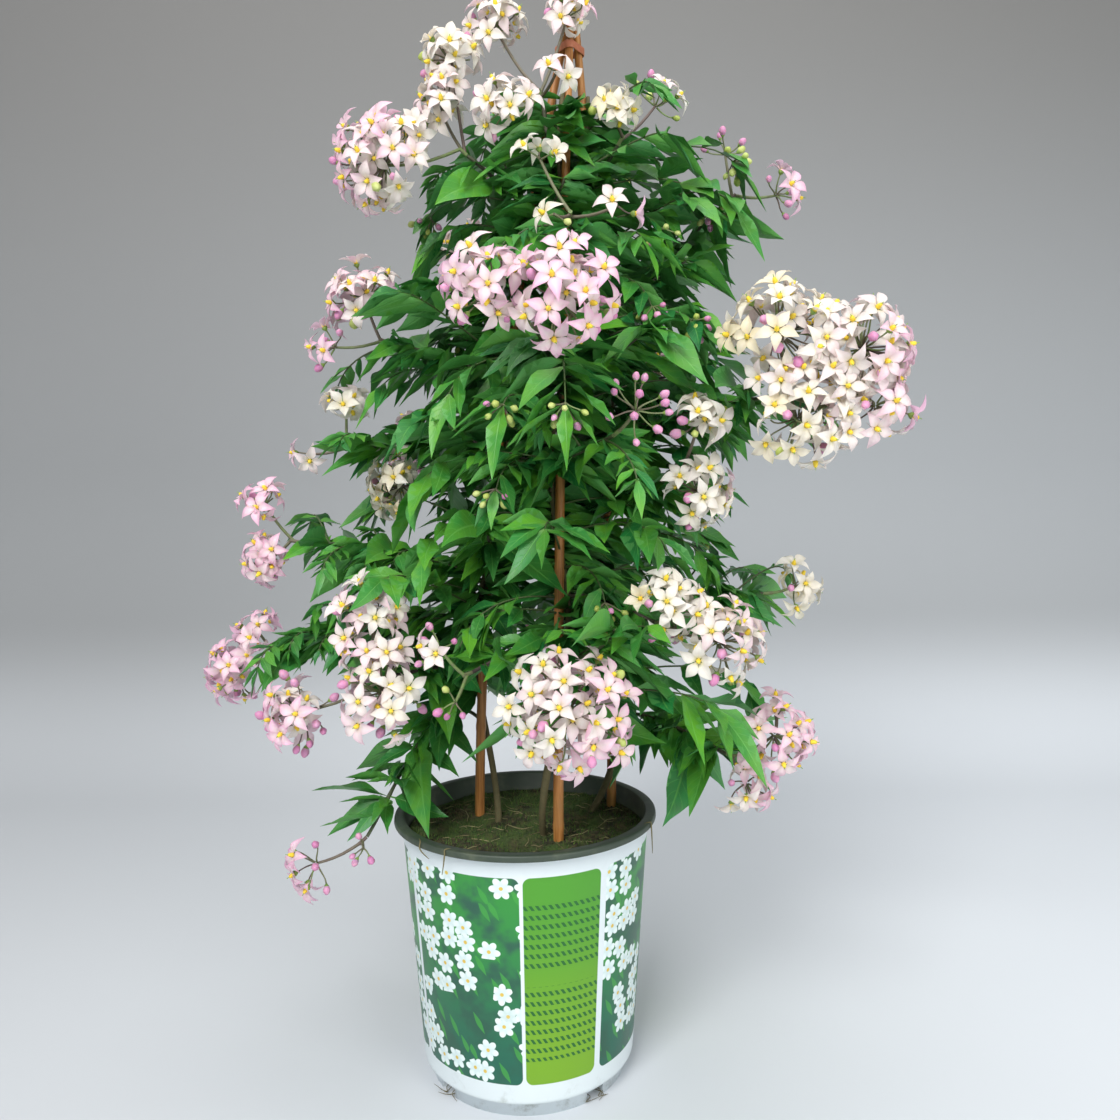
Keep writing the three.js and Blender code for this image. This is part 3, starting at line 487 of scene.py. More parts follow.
def lay_plant():
    for cane in CANES:
        points = along(lambda s, c=cane: cane_at(c, s), 120)
        room.take(points, cane_radius(0) + 1, "cane_" + cane["name"], "stem")
    vines = []
    for index, cane in enumerate(CANES):
        owner = "vine_" + cane["name"]
        room.take(along(lambda s, c=cane: vine_at(c, s * VINE_END), 110), 3.2, owner, "stem")
        vines.append({"owner": owner, "cane": cane, "index": index, "twigs": [], "leaves": []})
    room.take([vec(TOP[0], TOP[1], TIE_LEVEL)], 12, "cane_tie", "stem")
    for i in range(ROUND_BALLS):
        c = math.cos(2 * math.pi * i / ROUND_BALLS)
        s = math.sin(2 * math.pi * i / ROUND_BALLS)
        room.take([vec(RIM_RADIUS * c, RIM_RADIUS * s, POT_HEIGHT - 3)], 6, "pot", "stem")
        for r in SOIL_RINGS:
            room.take([vec(r * c, r * s, SOIL_TOP - 7)], 9, "soil", "stem")
    heads = [lay_head(head, index) for index, head in enumerate(HEADS)]
    boughs = [lay_bough(head) for head in heads]
    for bough in boughs:
        random = seeded(300 + bough["head"]["index"])
        line = bough["line"]
        count = bough["head"]["leaves"]
        for i in range(count):
            s = 0.14 + (0.8 * (i + 0.5)) / count
            tangent = unit(line(s + 0.02) - line(s - 0.02))
            angle = i * GOLDEN_ANGLE + random()
            lay_pair(bough["owner"], line, s, tangent, angle, random, bough["leaves"])
    zero = compass(square_to(UP, 0))
    for vine in vines:
        random = seeded(500 + vine["index"])
        cane = vine["cane"]

        def line(s, cane=cane):
            return vine_at(cane, s)

        for i in range(VINE_TWIGS):
            lay_twig(vine, 0.14 + 0.74 * math.pow((i + 0.5) / VINE_TWIGS, 0.8), random)
        for i in range(VINE_NODES):
            t = 0.12 + 0.79 * math.pow((i + 0.8) / VINE_NODES, 0.8)
            outward = compass(vine_at(cane, t) - cane_at(cane, t)) - 0.9 + (random() - 0.5) * 0.8
            lay_pair(vine["owner"], line, t, UP, outward - zero, random, vine["leaves"])
    return vines, heads, boughs


vines, heads, boughs = lay_plant()

# The end of the layout

# Paint: values at each point that the materials read. along and across run over a leaf, petal or stem, tint
# is its shade, or 1 under a petal, and blush is how pink a petal is, or 1 under a leaf
PAINT = ["along", "across", "tint", "blush"]


# Materials


class Nodes:
    """A material's node tree, with short ways to add to it."""

    def __init__(self, name):
        self.material = bpy.data.materials.new(name)
        self.material.use_nodes = True
        self.tree = self.material.node_tree
        self.shader = self.tree.nodes["Principled BSDF"]
        self.object = self.make("ShaderNodeTexCoord").outputs["Object"]

    def make(self, kind, **settings):
        node = self.tree.nodes.new(kind)
        for key, value in settings.items():
            setattr(node, key, value)
        return node

    def feed(self, socket, value):
        """Links another node's output to a socket, or sets a number or colour on it."""
        if isinstance(value, bpy.types.NodeSocket):
            self.tree.links.new(value, socket)
        else:
            socket.default_value = (*value, 1) if socket.type == "RGBA" else value

    def math(self, operation, *values):
        node = self.make("ShaderNodeMath", operation=operation)
        for socket, value in zip(node.inputs, values):
            self.feed(socket, value)
        return node.outputs[0]

    def times(self, a, b):
        return self.math("MULTIPLY", a, b)

    def plus(self, a, b):
        return self.math("ADD", a, b)

    def less(self, a, b):
        return self.math("SUBTRACT", a, b)

    def most(self, a, b):
        return self.math("MAXIMUM", a, b)

    def absolute(self, a):
        return self.math("ABSOLUTE", a)

    def apart(self, a, b):
        return self.absolute(self.less(a, b))

    def length(self, a, b):
        return self.math("SQRT", self.plus(self.times(a, a), self.times(b, b)))

    def parts(self, vector):
        """A vector's x, y and z."""
        node = self.make("ShaderNodeSeparateXYZ")
        self.feed(node.inputs[0], vector)
        return node.outputs

    def paint(self, channel):
        return self.make("ShaderNodeAttribute", attribute_name=channel).outputs["Fac"]

    def span(self, value, low, high, start=0.0, end=1.0):
        """value from low to high, turned smoothly to start to end."""
        node = self.make("ShaderNodeMapRange", interpolation_type="SMOOTHSTEP")
        for socket, number in zip(node.inputs, (value, low, high, start, end)):
            self.feed(socket, number)
        return node.outputs[0]

    def mix(self, share, first, second):
        node = self.make("ShaderNodeMix", data_type="RGBA")
        self.feed(node.inputs["Factor"], share)
        colours = [socket for socket in node.inputs if socket.type == "RGBA"]
        for socket, colour in zip(colours, (first, second)):
            self.feed(socket, colour)
        return next(socket for socket in node.outputs if socket.type == "RGBA")

    def noise(self, scale, detail=3.0, rough=0.55, where=None):
        node = self.make("ShaderNodeTexNoise")
        settings = {"Vector": where or self.object, "Scale": scale, "Detail": detail, "Roughness": rough}
        for name, value in settings.items():
            self.feed(node.inputs[name], value)
        return node.outputs["Fac"]

    def bump(self, height, distance, strength=1.0):
        node = self.make("ShaderNodeBump")
        for name, value in {"Strength": strength, "Distance": distance, "Height": height}.items():
            self.feed(node.inputs[name], value)
        self.feed(self.shader.inputs["Normal"], node.outputs[0])

    def finish(self, colour, rough, **sockets):
        self.feed(self.shader.inputs["Base Color"], colour)
        self.feed(self.shader.inputs["Roughness"], rough)
        for name, value in sockets.items():
            self.shader.inputs[name.replace("_", " ")].default_value = value
        return self.material


LEAF_VEINS = 9


def leaf_material():
    n = Nodes("leaf")
    along, across, tint, under = (n.paint(channel) for channel in PAINT)
    away = n.absolute(across)
    deep = n.mix(tint, (0.008, 0.12, 0.028), (0.13, 0.4, 0.025))
    patch = n.span(n.noise(70, 4), 0.35, 0.7, 0.0, 0.6)
    blade = n.mix(patch, deep, (0.016, 0.22, 0.045))
    rib = n.span(away, 0.02, 0.1, 1.0, 0.0)
    slant = n.math("FRACT", n.less(n.times(along, LEAF_VEINS), n.times(away, 1.5)))
    vein = n.span(n.apart(slant, 0.5), 0.0, 0.1, 1.0, 0.0)
    veins = n.most(rib, n.times(vein, 0.45))
    lined = n.mix(n.times(veins, 0.5), blade, (0.14, 0.42, 0.08))
    stalked = n.mix(n.times(n.span(along, 0.0, 0.2, 1.0, 0.0), 0.7), lined, (0.14, 0.27, 0.05))
    colour = n.mix(n.times(under, 0.45), stalked, (0.12, 0.38, 0.1))
    n.bump(n.less(n.times(n.noise(240, 2), 0.4), veins), 0.0004, 0.5)
    return n.finish(colour, 0.45)


def petal_material():
    n = Nodes("petal")
    along, across, under, blush = (n.paint(channel) for channel in PAINT)
    away = n.absolute(across)
    white = n.mix(n.span(along, 0.0, 0.3), (0.7, 0.66, 0.34), (0.86, 0.79, 0.7))
    reach = n.plus(n.times(away, 0.35), n.times(along, 0.65))
    pink = n.mix(n.span(reach, 0.1, 0.95, 0.1, 1.0), (0.86, 0.64, 0.68), (0.84, 0.38, 0.58))
    cream = n.mix(n.span(blush, -0.9, 0.0, 1.0, 0.0), white, (0.88, 0.74, 0.47))
    tone = n.mix(n.span(blush, 0.0, 1.0), cream, pink)
    lined = n.mix(n.span(away, 0.0, 0.16, 0.3, 0.0), tone, (0.8, 0.64, 0.58))
    colour = n.mix(n.times(under, n.span(blush, 0.0, 1.0, 0.0, 0.8)), lined, (0.8, 0.44, 0.66))
    n.bump(n.noise(600, 2), 0.0002, 0.35)
    return n.finish(
        colour, 0.55, Subsurface_Weight=0.35, Subsurface_Scale=0.004, Subsurface_Radius=(1.0, 0.8, 0.75),
    )


def plain_material(name, colour, rough, spread=None, grain=0.0, scale=300.0, **sockets):
    """One colour, turned to spread by the piece's tint and in patches, with a grain."""
    n = Nodes(name)
    second = spread or tuple(c * 0.7 for c in colour)
    tone = n.mix(n.paint("tint"), second, colour)
    mottled = n.mix(n.span(n.noise(scale), 0.35, 0.7, 0.0, 0.5), tone, second)
    if grain:
        n.bump(n.noise(scale * 2, 4), grain)
    return n.finish(mottled, rough, **sockets)


def bamboo_material():
    n = Nodes("bamboo")
    stretch = n.make("ShaderNodeMapping")
    n.feed(stretch.inputs["Vector"], n.object)
    stretch.inputs["Scale"].default_value = (1, 1, 0.06)
    streak = n.noise(420, 4, where=stretch.outputs[0])
    tone = n.mix(n.span(streak, 0.3, 0.7), (0.3, 0.11, 0.02), (0.56, 0.25, 0.07))
    worn = n.mix(n.span(n.noise(18, 3), 0.5, 0.75, 0.0, 0.7), tone, (0.34, 0.19, 0.07))
    n.bump(streak, 0.0003, 0.5)
    return n.finish(worn, 0.5)


def soil_material():
    n = Nodes("soil")
    base = n.mix(n.span(n.noise(160, 6, 0.7), 0.35, 0.7), (0.02, 0.02, 0.009), (0.11, 0.095, 0.04))
    mossy = n.span(n.noise(26, 3), 0.42, 0.6, 0.0, 0.85)
    green = n.mix(n.noise(300, 3), (0.025, 0.08, 0.016), (0.11, 0.15, 0.035))
    colour = n.mix(mossy, base, green)
    n.bump(n.noise(420, 5, 0.7), 0.0016, 0.9)
    return n.finish(colour, 0.95)


def plastic_material(name, clean, dirty, patches, low, most, grain, strength, rough):
    """Plastic with dirt in patches: noises are (scale, detail, roughness), and most is the dirt's share."""
    n = Nodes(name)
    dirt = n.span(n.noise(*patches), low, 0.75, 0.0, most)
    n.bump(n.noise(*grain), 0.0002, strength)
    return n.finish(n.mix(dirt, clean, dirty), rough)


# The print: panels [first angle, last angle, dark] in degrees from the front. Sizes are in metres
PANELS = [
    [-59, -1, True], [0.6, 36.2, False], [39.5, 97.5, True], [99.1, 134.7, False], [138, 196, True],
    [197.6, 233.2, False], [236.5, 298, True],
]
PRINT_LOW = 0.0254
PRINT_HIGH = 0.169
PRINT_CORNER = 0.005
PRINT_RADIUS = 0.083
ROSETTE_PITCH = 0.0145
ROSETTE_RADIUS = 0.0077
EYE_RADIUS = 0.0013
BLADE_PITCH = 0.019
DASH_ROW = 0.0066
DASH_COLUMN = 0.0041
DASHES_MIDDLE = 0.0975
DASHES_HALF = 0.055
DASHES_GAP = 0.1


def panel_mask(n, turn, height, first, last):
    """1 inside a panel with round corners. turn is in radians."""
    middle = math.radians((first + last) / 2)
    half = math.radians((last - first) / 2) * PRINT_RADIUS - PRINT_CORNER
    folded = n.math("WRAP", n.less(turn, middle), math.pi, -math.pi)
    dx = n.most(n.less(n.times(n.absolute(folded), PRINT_RADIUS), half), 0.0)
    tall = (PRINT_HIGH - PRINT_LOW) / 2 - PRINT_CORNER
    dy = n.most(n.less(n.apart(height, (PRINT_LOW + PRINT_HIGH) / 2), tall), 0.0)
    return n.span(n.length(dx, dy), PRINT_CORNER - 0.0002, PRINT_CORNER + 0.0002, 1.0, 0.0)


def cells(n, where, pitch, randomness):
    """Scattered cells: the offset from the nearest cell's centre, the centre and the cell's own colour."""
    node = n.make("ShaderNodeTexVoronoi", voronoi_dimensions="2D")
    for name, value in {"Vector": where, "Scale": 1 / pitch, "Randomness": randomness}.items():
        n.feed(node.inputs[name], value)
    offset = n.make("ShaderNodeVectorMath", operation="SUBTRACT")
    n.feed(offset.inputs[0], where)
    n.feed(offset.inputs[1], node.outputs["Position"])
    x, y, _ = n.parts(offset.outputs[0])
    return x, y, node.outputs["Position"], node.outputs["Color"]


def rosettes(n, where):
    """Round flowers in loose drifts: their mask, the mask of their eyes, and their shading."""
    x, y, centre, own = cells(n, where, ROSETTE_PITCH, 0.6)
    draw = n.make("ShaderNodeSeparateColor")
    n.feed(draw.inputs[0], own)
    far = n.length(x, y)
    turned = n.plus(n.times(n.math("ARCTAN2", y, x), 3.0), n.times(draw.outputs[0], 6.0))
    lobes = n.absolute(n.math("SINE", turned))
    rim = n.times(n.plus(0.62, n.times(lobes, 0.38)), ROSETTE_RADIUS)
    flower = n.span(n.less(far, rim), -0.0003, 0.0003, 1.0, 0.0)
    drift = n.span(n.noise(22, 2, where=centre), 0.48, 0.481)
    eye = n.span(far, EYE_RADIUS - 0.0002, EYE_RADIUS + 0.0002, 1.0, 0.0)
    shade = n.span(n.times(lobes, n.span(far, 0.001, 0.006)), 0.0, 1.0, 0.35, 0.0)
    mask = n.times(flower, drift)
    return mask, n.times(eye, mask), shade


def dark_print(n, where, z):
    """Blurred greenery with narrow blades and pale flowers."""
    deep = n.mix(n.span(z, 0.03, 0.165), (0.012, 0.12, 0.075), (0.03, 0.26, 0.04))
    blur = n.mix(n.span(n.noise(38, 3, where=where), 0.42, 0.62), deep, (0.02, 0.1, 0.06))
    x, y, _, _ = cells(n, where, BLADE_PITCH, 0.9)
    slim = n.absolute(n.plus(n.times(x, 0.9), n.times(y, 0.5)))
    blade = n.span(n.plus(n.times(slim, 2.6), n.times(n.length(x, y), 0.8)), 0.0062, 0.0072, 1.0, 0.0)
    leafy = n.mix(n.times(blade, 0.75), blur, (0.05, 0.33, 0.05))
    mask, eye, shade = rosettes(n, where)
    flowered = n.mix(mask, leafy, n.mix(shade, (0.78, 0.88, 0.86), (0.4, 0.58, 0.6)))
    return n.mix(eye, flowered, (0.7, 0.5, 0.08))


def light_print(n, turn, z):
    """Fresh green with two blocks of short slanted dashes in rows."""
    spring = n.mix(n.span(z, 0.03, 0.16), (0.18, 0.38, 0.015), (0.07, 0.3, 0.02))
    row = n.less(n.math("FRACT", n.times(z, 1 / DASH_ROW)), 0.5)
    column = n.less(n.math("FRACT", n.times(turn, PRINT_RADIUS / DASH_COLUMN)), 0.5)
    slant = n.absolute(n.plus(row, n.times(column, 0.5)))
    dash = n.span(n.plus(n.times(slant, 1.9), n.times(n.absolute(column), 0.9)), 0.42, 0.5, 1.0, 0.0)
    block = n.span(n.apart(z, DASHES_MIDDLE), DASHES_HALF, DASHES_HALF + 0.001, 1.0, 0.0)
    gap = n.span(n.apart(z, DASHES_GAP), 0.0055, 0.006)
    return n.mix(n.times(n.times(dash, block), gap), spring, (0.01, 0.12, 0.02))


def pot_print_material():
    """White plastic with rounded green panels: dark ones with drifts of flowers, light ones with dashes."""
    n = Nodes("pot_print")
    x, y, z = n.parts(n.object)
    turn = n.math("ARCTAN2", x, n.times(y, -1.0))
    flat = n.make("ShaderNodeCombineXYZ")
    n.feed(flat.inputs[0], n.times(turn, PRINT_RADIUS))
    n.feed(flat.inputs[1], z)
    masks = {True: 0.0, False: 0.0}
    for first, last, is_dark in PANELS:
        masks[is_dark] = n.most(masks[is_dark], panel_mask(n, turn, z, first, last))
    dirt = n.span(n.noise(55, 6, 0.7), 0.52, 0.8, 0.0, 0.5)
    white = n.mix(n.times(dirt, n.span(z, 0.012, 0.03, 1.0, 0.15)), (0.72, 0.79, 0.81), (0.25, 0.27, 0.22))
    with_dark = n.mix(masks[True], white, dark_print(n, flat.outputs[0], z))
    return n.finish(n.mix(masks[False], with_dark, light_print(n, turn, z)), 0.36)


# Plain materials: colour, roughness, and then the second colour and the grain's depth in metres and scale
PLAIN = {
    "anther": ((0.9, 0.72, 0.07), 0.6, (0.88, 0.6, 0.03)),
    "bud_green": ((0.6, 0.66, 0.25), 0.5, (0.42, 0.5, 0.1)),
    "calyx": ((0.3, 0.42, 0.09), 0.55, (0.16, 0.28, 0.05)),
    "stalk": ((0.2, 0.3, 0.09), 0.55, (0.15, 0.1, 0.09)),
    "stem": ((0.07, 0.14, 0.03), 0.55, (0.07, 0.04, 0.045), 0.0004, 500),
    "stem_young": ((0.3, 0.5, 0.12), 0.5),
    "bark": ((0.2, 0.15, 0.07), 0.8, (0.07, 0.075, 0.03), 0.0008, 350),
    "tie": ((0.6, 0.2, 0.1), 0.55, None, 0.0002),
    "moss": ((0.13, 0.19, 0.035), 0.9, (0.03, 0.085, 0.016)),
    "straw": ((0.34, 0.31, 0.15), 0.8, (0.14, 0.12, 0.055)),
}
MATERIALS = {name: plain_material(name, *values) for name, values in PLAIN.items()}
MATERIALS |= {
    "leaf": leaf_material(),
    "petal": petal_material(),
    "bud": plain_material(
        "bud", (0.74, 0.4, 0.56), 0.5, (0.6, 0.22, 0.42), Subsurface_Weight=0.2, Subsurface_Scale=0.002,
    ),
    "bamboo": bamboo_material(),
    "soil": soil_material(),
    "pot_print": pot_print_material(),
    "pot_rim": plastic_material(
        "pot_rim", (0.042, 0.06, 0.042), (0.11, 0.13, 0.08), (60, 5, 0.65), 0.45, 0.6, (300, 4), 0.4, 0.5,
    ),
    "pot_foot": plastic_material(
        "pot_foot", (0.74, 0.81, 0.84), (0.2, 0.21, 0.16), (45, 6, 0.7), 0.5, 0.75, (200, 3), 0.3, 0.4,
    ),
}


# Meshes


class Dressing:
    """Points, faces, materials and paint that end as one piece of the scene."""

    def __init__(self):
        self.points = []
        self.paint = []
        self.faces = []
        self.materials = []
        self.count = 0

    def add(self, points, faces, material, along=0.0, across=0.0, tint=0.5, blush=0.0, smooth=True):
        points = np.asarray(points, float).reshape(-1, 3)
        paint = np.empty((len(points), 4))
        for i, value in enumerate((along, across, tint, blush)):
            paint[:, i] = value
        if material not in self.materials:
            self.materials.append(material)
        self.faces.append((np.asarray(faces, int) + self.count, self.materials.index(material), smooth))
        self.points.append(points)
        self.paint.append(paint)
        self.count += len(points)

    def build(self, name):
        mesh = bpy.data.meshes.new(name)
        points = np.concatenate(self.points) * MM
        mesh.vertices.add(len(points))
        mesh.vertices.foreach_set("co", points.astype(np.float32).ravel())
        batches, materials, smooth = zip(*self.faces)
        counts = [len(faces) for faces in batches]
        corners = np.concatenate([faces.ravel() for faces in batches])
        sides = np.repeat([faces.shape[1] for faces in batches], counts)
        mesh.loops.add(len(corners))
        mesh.loops.foreach_set("vertex_index", corners.astype(np.int32))
        mesh.polygons.add(len(sides))
        mesh.polygons.foreach_set("loop_start", (np.cumsum(sides) - sides).astype(np.int32))
        mesh.polygons.foreach_set("material_index", np.repeat(materials, counts).astype(np.int32))
        mesh.polygons.foreach_set("use_smooth", np.repeat(smooth, counts))
        paint = np.concatenate(self.paint)
        for i, channel in enumerate(PAINT):
            layer = mesh.attributes.new(channel, "FLOAT", "POINT")
            layer.data.foreach_set("value", paint[:, i].astype(np.float32))
        for material in self.materials:
            mesh.materials.append(MATERIALS[material])
        mesh.update()
        mesh.validate()
        obj = bpy.data.objects.new(name, mesh)
        bpy.context.scene.collection.objects.link(obj)
        return obj

    def piece(self, name, slot, *nodes):
        register(self.build(name), slot, *nodes)


def register(obj, slot, *nodes):
    """The piece takes the nodes' place and rides the part's one body."""
    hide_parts(*nodes)
    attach(obj, "root")


def grid_faces(rows, columns, ring=False):
    """Quads over a grid of points, row by row. In a ring the last column joins the first."""
    r, c = np.meshgrid(np.arange(rows - 1), np.arange(columns if ring else columns - 1), indexing="ij")
    a = r * columns + c
    b = r * columns + (c + 1) % columns
    return np.stack([a, b, b + columns, a + columns], axis=-1).reshape(-1, 4)


def frames_along(points):
    """Two unit vectors square to a line of points at each of them, carried along without twist."""
    points = np.asarray(points)
    ahead = np.concatenate([points[1:], points[-1:]]) - np.concatenate([points[:1], points[:-1]])
    ahead /= np.linalg.norm(ahead, axis=1)[:, None]
    flats = []
    flat = square_to(ahead[0], 0)
    for direction in ahead:
        flat = unit(flat - direction * float(flat @ direction))
        flats.append(flat)
    flats = np.array(flats)
    return flats, np.cross(ahead, flats)


def add_tube(dress, points, radii, sides, material, tint=0.5, blush=0.0, wobble=None, caps=True):
    """A round bar along points. wobble gives each ring's radii as shares."""
    points = np.asarray(points, float)
    u, v = frames_along(points)
    a = (np.arange(sides) * (2 * math.pi / sides))[:, None]
    spokes = u[:, None] * np.cos(a) + v[:, None] * np.sin(a)
    reach = np.asarray(radii, float)[:, None] * (np.ones((1, sides)) if wobble is None else wobble)
    rings = points[:, None, :] + spokes * reach[..., None]
    share = np.repeat(np.linspace(0, 1, len(points)), sides)
    around = np.tile(np.linspace(0, 1, sides), len(points))
    dress.add(rings, grid_faces(len(points), sides, ring=True), material, share, around, tint, blush)
    if caps:
        for row, turn in ((0, 1), (len(points) - 1, -1)):
            fan = [[0, i + 2, i + 1][::turn] for i in range(sides - 2)]
            dress.add(rings[row], fan, material, 0, 0, tint, blush)


def add_sheet(dress, top, below, material, along, across, above, under):
    """A thin closed blade of two sheets. along is a column and across a row of shares, and above and under
    are each sheet's tint and blush."""
    faces = grid_faces(*top.shape[:2])
    shares, sides = (values.ravel() for values in np.broadcast_arrays(along, across))
    dress.add(top, faces, material, shares, sides, *above)
    dress.add(below, faces[:, ::-1], material, shares, sides, *under)


# Leaves. Grids are [points along, points across]

LEAF_GRID = (12, 7)
SPROUT_GRID = (8, 5)
SMALL_GRID = (7, 3)
SMALL_LENGTH = 34
PETIOLE_SHARE = 0.12
PETIOLE_RADIUS = 0.75
BLADE_WIDEST = 0.36
BLADE_THICKNESS = 0.5
RIB_DEPTH = 0.55
LEAF_TWIST = 1.3
SPROUT_EASE = 0.3
SPROUT_WIDTH = 0.31
SPROUT_ROOM = 1.6
SPRIG_NODES = 5
SPRIG_MARGIN = 4
SPRIG_MIDDLE = [20, 0]
SPRIG_RADIUS = [0.85, 0.45]
SPRIG_LEAF_WIDTH = 0.36
SPRIG_POINTS = 11
SPRAY_BUDS = 7
SPRAY_SCALE = 0.72
SPRAY_GREEN = 0.75
PLAIN_BOUGHS = ["low_left", "right_low", "top", "right_mid"]


def add_leaf(dress, leaf, rows, columns, random):
    """A lance-shaped blade on a short stalk, folded along its rib, with waved edges."""
    side, face = leaf_frame(leaf)
    s = np.linspace(0.0, 1.0, rows)[:, None]
    s = s + 0.04 * np.sin(2 * np.pi * s)
    t = np.clip((s - PETIOLE_SHARE) / (1 - PETIOLE_SHARE), 0, 1)
    low, high = 0.78, 0.78 * (1 - BLADE_WIDEST) / BLADE_WIDEST
    profile = t**low * (1 - t) ** high / (BLADE_WIDEST**low * (1 - BLADE_WIDEST) ** high)
    half = np.maximum(profile * leaf["width"] * 0.5, PETIOLE_RADIUS * (1 - t))
    length = leaf["length"]
    rib = leaf["base"] + leaf["direction"] * (length * s) - UP * (leaf["droop"] * length * s * s)
    bend = (random() - 0.5) * 0.22 * length
    rib = rib + side * (bend * np.sin(np.pi * s) * s)
    turn = (random() - 0.5) * LEAF_TWIST * s * s
    sides_at = (side * np.cos(turn) + face * np.sin(turn))[:, None]
    faces_at = (face * np.cos(turn) - side * np.sin(turn))[:, None]
    a = np.linspace(-1, 1, columns)
    wave = (s - BLADE_WIDEST) / 0.32
    left = 0.24 + 0.18 * np.cos(np.pi * wave)
    right = 0.3 - 0.14 * np.cos(np.pi * wave)
    shift = random() * 6
    ripple = 0.07 * np.sin(13 * s + shift)
    blade = np.clip(t * 9, 0, 1)
    lift = (np.where(a > 0, left, right) + ripple * np.sign(a)) * np.abs(a) ** 1.4 * half * blade
    middle = rib[:, None] + sides_at * (half * a)[..., None] + faces_at * lift[..., None]
    ends = np.clip(np.minimum(s, 1 - s) * 14, 0, 1)
    thick = (BLADE_THICKNESS + (PETIOLE_RADIUS * 1.6 - BLADE_THICKNESS) * (1 - blade)) * ends
    body = thick * (1 - a**2) * 0.5
    keel = RIB_DEPTH * np.exp(-((a / 0.2) ** 2)) * (1 - t) * blade * ends
    groove = 0.25 * np.exp(-((a / 0.15) ** 2)) * blade * ends
    top = middle + faces_at * (body - groove)[..., None]
    below = middle - faces_at * (body + keel + groove)[..., None]
    tint = random()
    add_sheet(dress, top, below, "leaf", s, a, (tint, 0), (tint, 1))


def sprout(dress, line, s, tangent, count, lengths, random, owner):
    """Small leaves stand round a node of a stem, where they are clear of everything else."""
    for _ in range(count):
        out = square_to(tangent, random() * 2 * math.pi) + tangent * (0.3 + 0.5 * random())
        flat = math.hypot(out[0], out[1])
        hang = -0.5 + 0.9 * random()
        length = between(lengths, random())
        roll = (-1 if random() < 0.5 else 1) * (0.15 + 0.8 * random())
        droop = 0.1 + 0.3 * random()
        if flat < 0.3:
            continue
        direction = vec(out[0] / flat, out[1] / flat, hang)
        leaf = make_leaf(line(s), s, direction, length, SPROUT_WIDTH, roll, droop)
        balls = leaf_balls(leaf)
        if room.is_clear(balls, 0.6, [owner], ease=SPROUT_EASE):
            room.take(balls[: len(RIB_BALLS)], SPROUT_ROOM, owner, "sprout")
            add_leaf(dress, leaf, *(SMALL_GRID if length < SMALL_LENGTH else SPROUT_GRID), random)


def in_box(points):
    """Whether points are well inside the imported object's box."""
    low, high = (np.array(corner) / MM for corner in packed_box)
    points = np.array(points)
    return bool((points > low + SPRIG_MARGIN).all() and (points < high - SPRIG_MARGIN).all())


def add_spray(dress, at, ahead, green, random):
    """A small cluster of young buds on thin stalks at the tip of a shoot."""
    lobe = {"hub": at, "core": 0.1}
    for i in range(SPRAY_BUDS):
        direction = unit(ahead * (1 - 0.13 * i) + square_to(ahead, i * GOLDEN_ANGLE) * 0.7)
        site = {"at": at + direction * (8 + 5 * random()), "direction": direction, "spin": random() * 6}
        add_bud(dress, site, lobe, green, random, SPRAY_SCALE)


def sprig(dress, line, s, tangent, length, random, owner, spray=False):
    """A thin young shoot with pairs of small leaves stands out from a stem, where it is clear."""
    start = line(s)
    out = square_to(tangent, random() * 2 * math.pi) + tangent * 0.4
    inward = out[0] * (start[0] - SPRIG_MIDDLE[0]) + out[1] * (start[1] - SPRIG_MIDDLE[1]) < 0
    flip = -1 if inward else 1
    out = unit(vec(flip * out[0], flip * out[1], 0.25 * out[2] + 0.1 + 0.5 * random()))
    end = start + out * length - UP * (length * (0.1 + 0.5 * random()))
    curve = [start, start + out * length * 0.4, mixed(start + out * length * 0.8, end, 0.3), end]
    points = [bezier(curve, t) for t in np.linspace(0, 1, SPRIG_POINTS)]
    if not in_box(points) or not room.is_clear(points[3:], 1.5, [owner], ease=SPROUT_EASE):
        return
    add_tube(dress, points, np.linspace(*SPRIG_RADIUS, SPRIG_POINTS), 6, "stem", 0.7 + 0.3 * random())
    for i in range(SPRIG_NODES):
        t = 0.25 + 0.75 * (i + 1) / SPRIG_NODES
        at = bezier(curve, t)
        ahead = unit(at - bezier(curve, t - 0.03))
        across = unit(cross(ahead, UP))
        for turn in (-1, 1, 0) if i == SPRIG_NODES - 1 else (-1, 1):
            grown = length * (0.24 + 0.16 * random()) * (1.15 - 0.5 * abs(t - 0.6))
            lean = ahead * (0.6 + 0.5 * random()) + UP * (0.7 * random() - 0.5)
            roll = (random() - 0.5) * 1.6
            droop = 0.1 + 0.3 * random()
            leaf = make_leaf(at, t, across * turn + lean, grown, SPRIG_LEAF_WIDTH, roll, droop)
            balls = leaf_balls(leaf)
            if in_box(balls) and room.is_clear(balls, 0.5, [owner], ease=SPROUT_EASE):
                room.take(balls[: len(RIB_BALLS)], 1.0, owner, "sprout")
                add_leaf(dress, leaf, *SMALL_GRID, random)
    middle = end + ahead * 11
    if spray and in_box([middle]) and room.is_clear([middle], 9, [owner], ease=SPROUT_EASE):
        room.take([middle], 7, owner, "sprout")
        add_spray(dress, end, ahead, SPRAY_GREEN, random)


# Blooms

PETAL_GRID = (7, 5)
INNER_GRID = (6, 3)
PETAL_HALF = 0.265
PETAL_THICKNESS = 0.45
BLOOM_SPREAD = [11.6, 13.8]
OUTER_BLUSH = 0.014
CREAM_SHARE = 0.5
DENSE_HEADS = ["right_big", "left_low", "top_left"]
BETWEEN_REACH = 1.1
BETWEEN_BLOOMS = 5
BETWEEN_TURN = 2.6
INNER_LEAST = 16
INNER_BLOOMS = 0.85
INNER_BUDS = 0.5
SPRAY_RADIUS = 25
SPRAY_BUD = 0.85

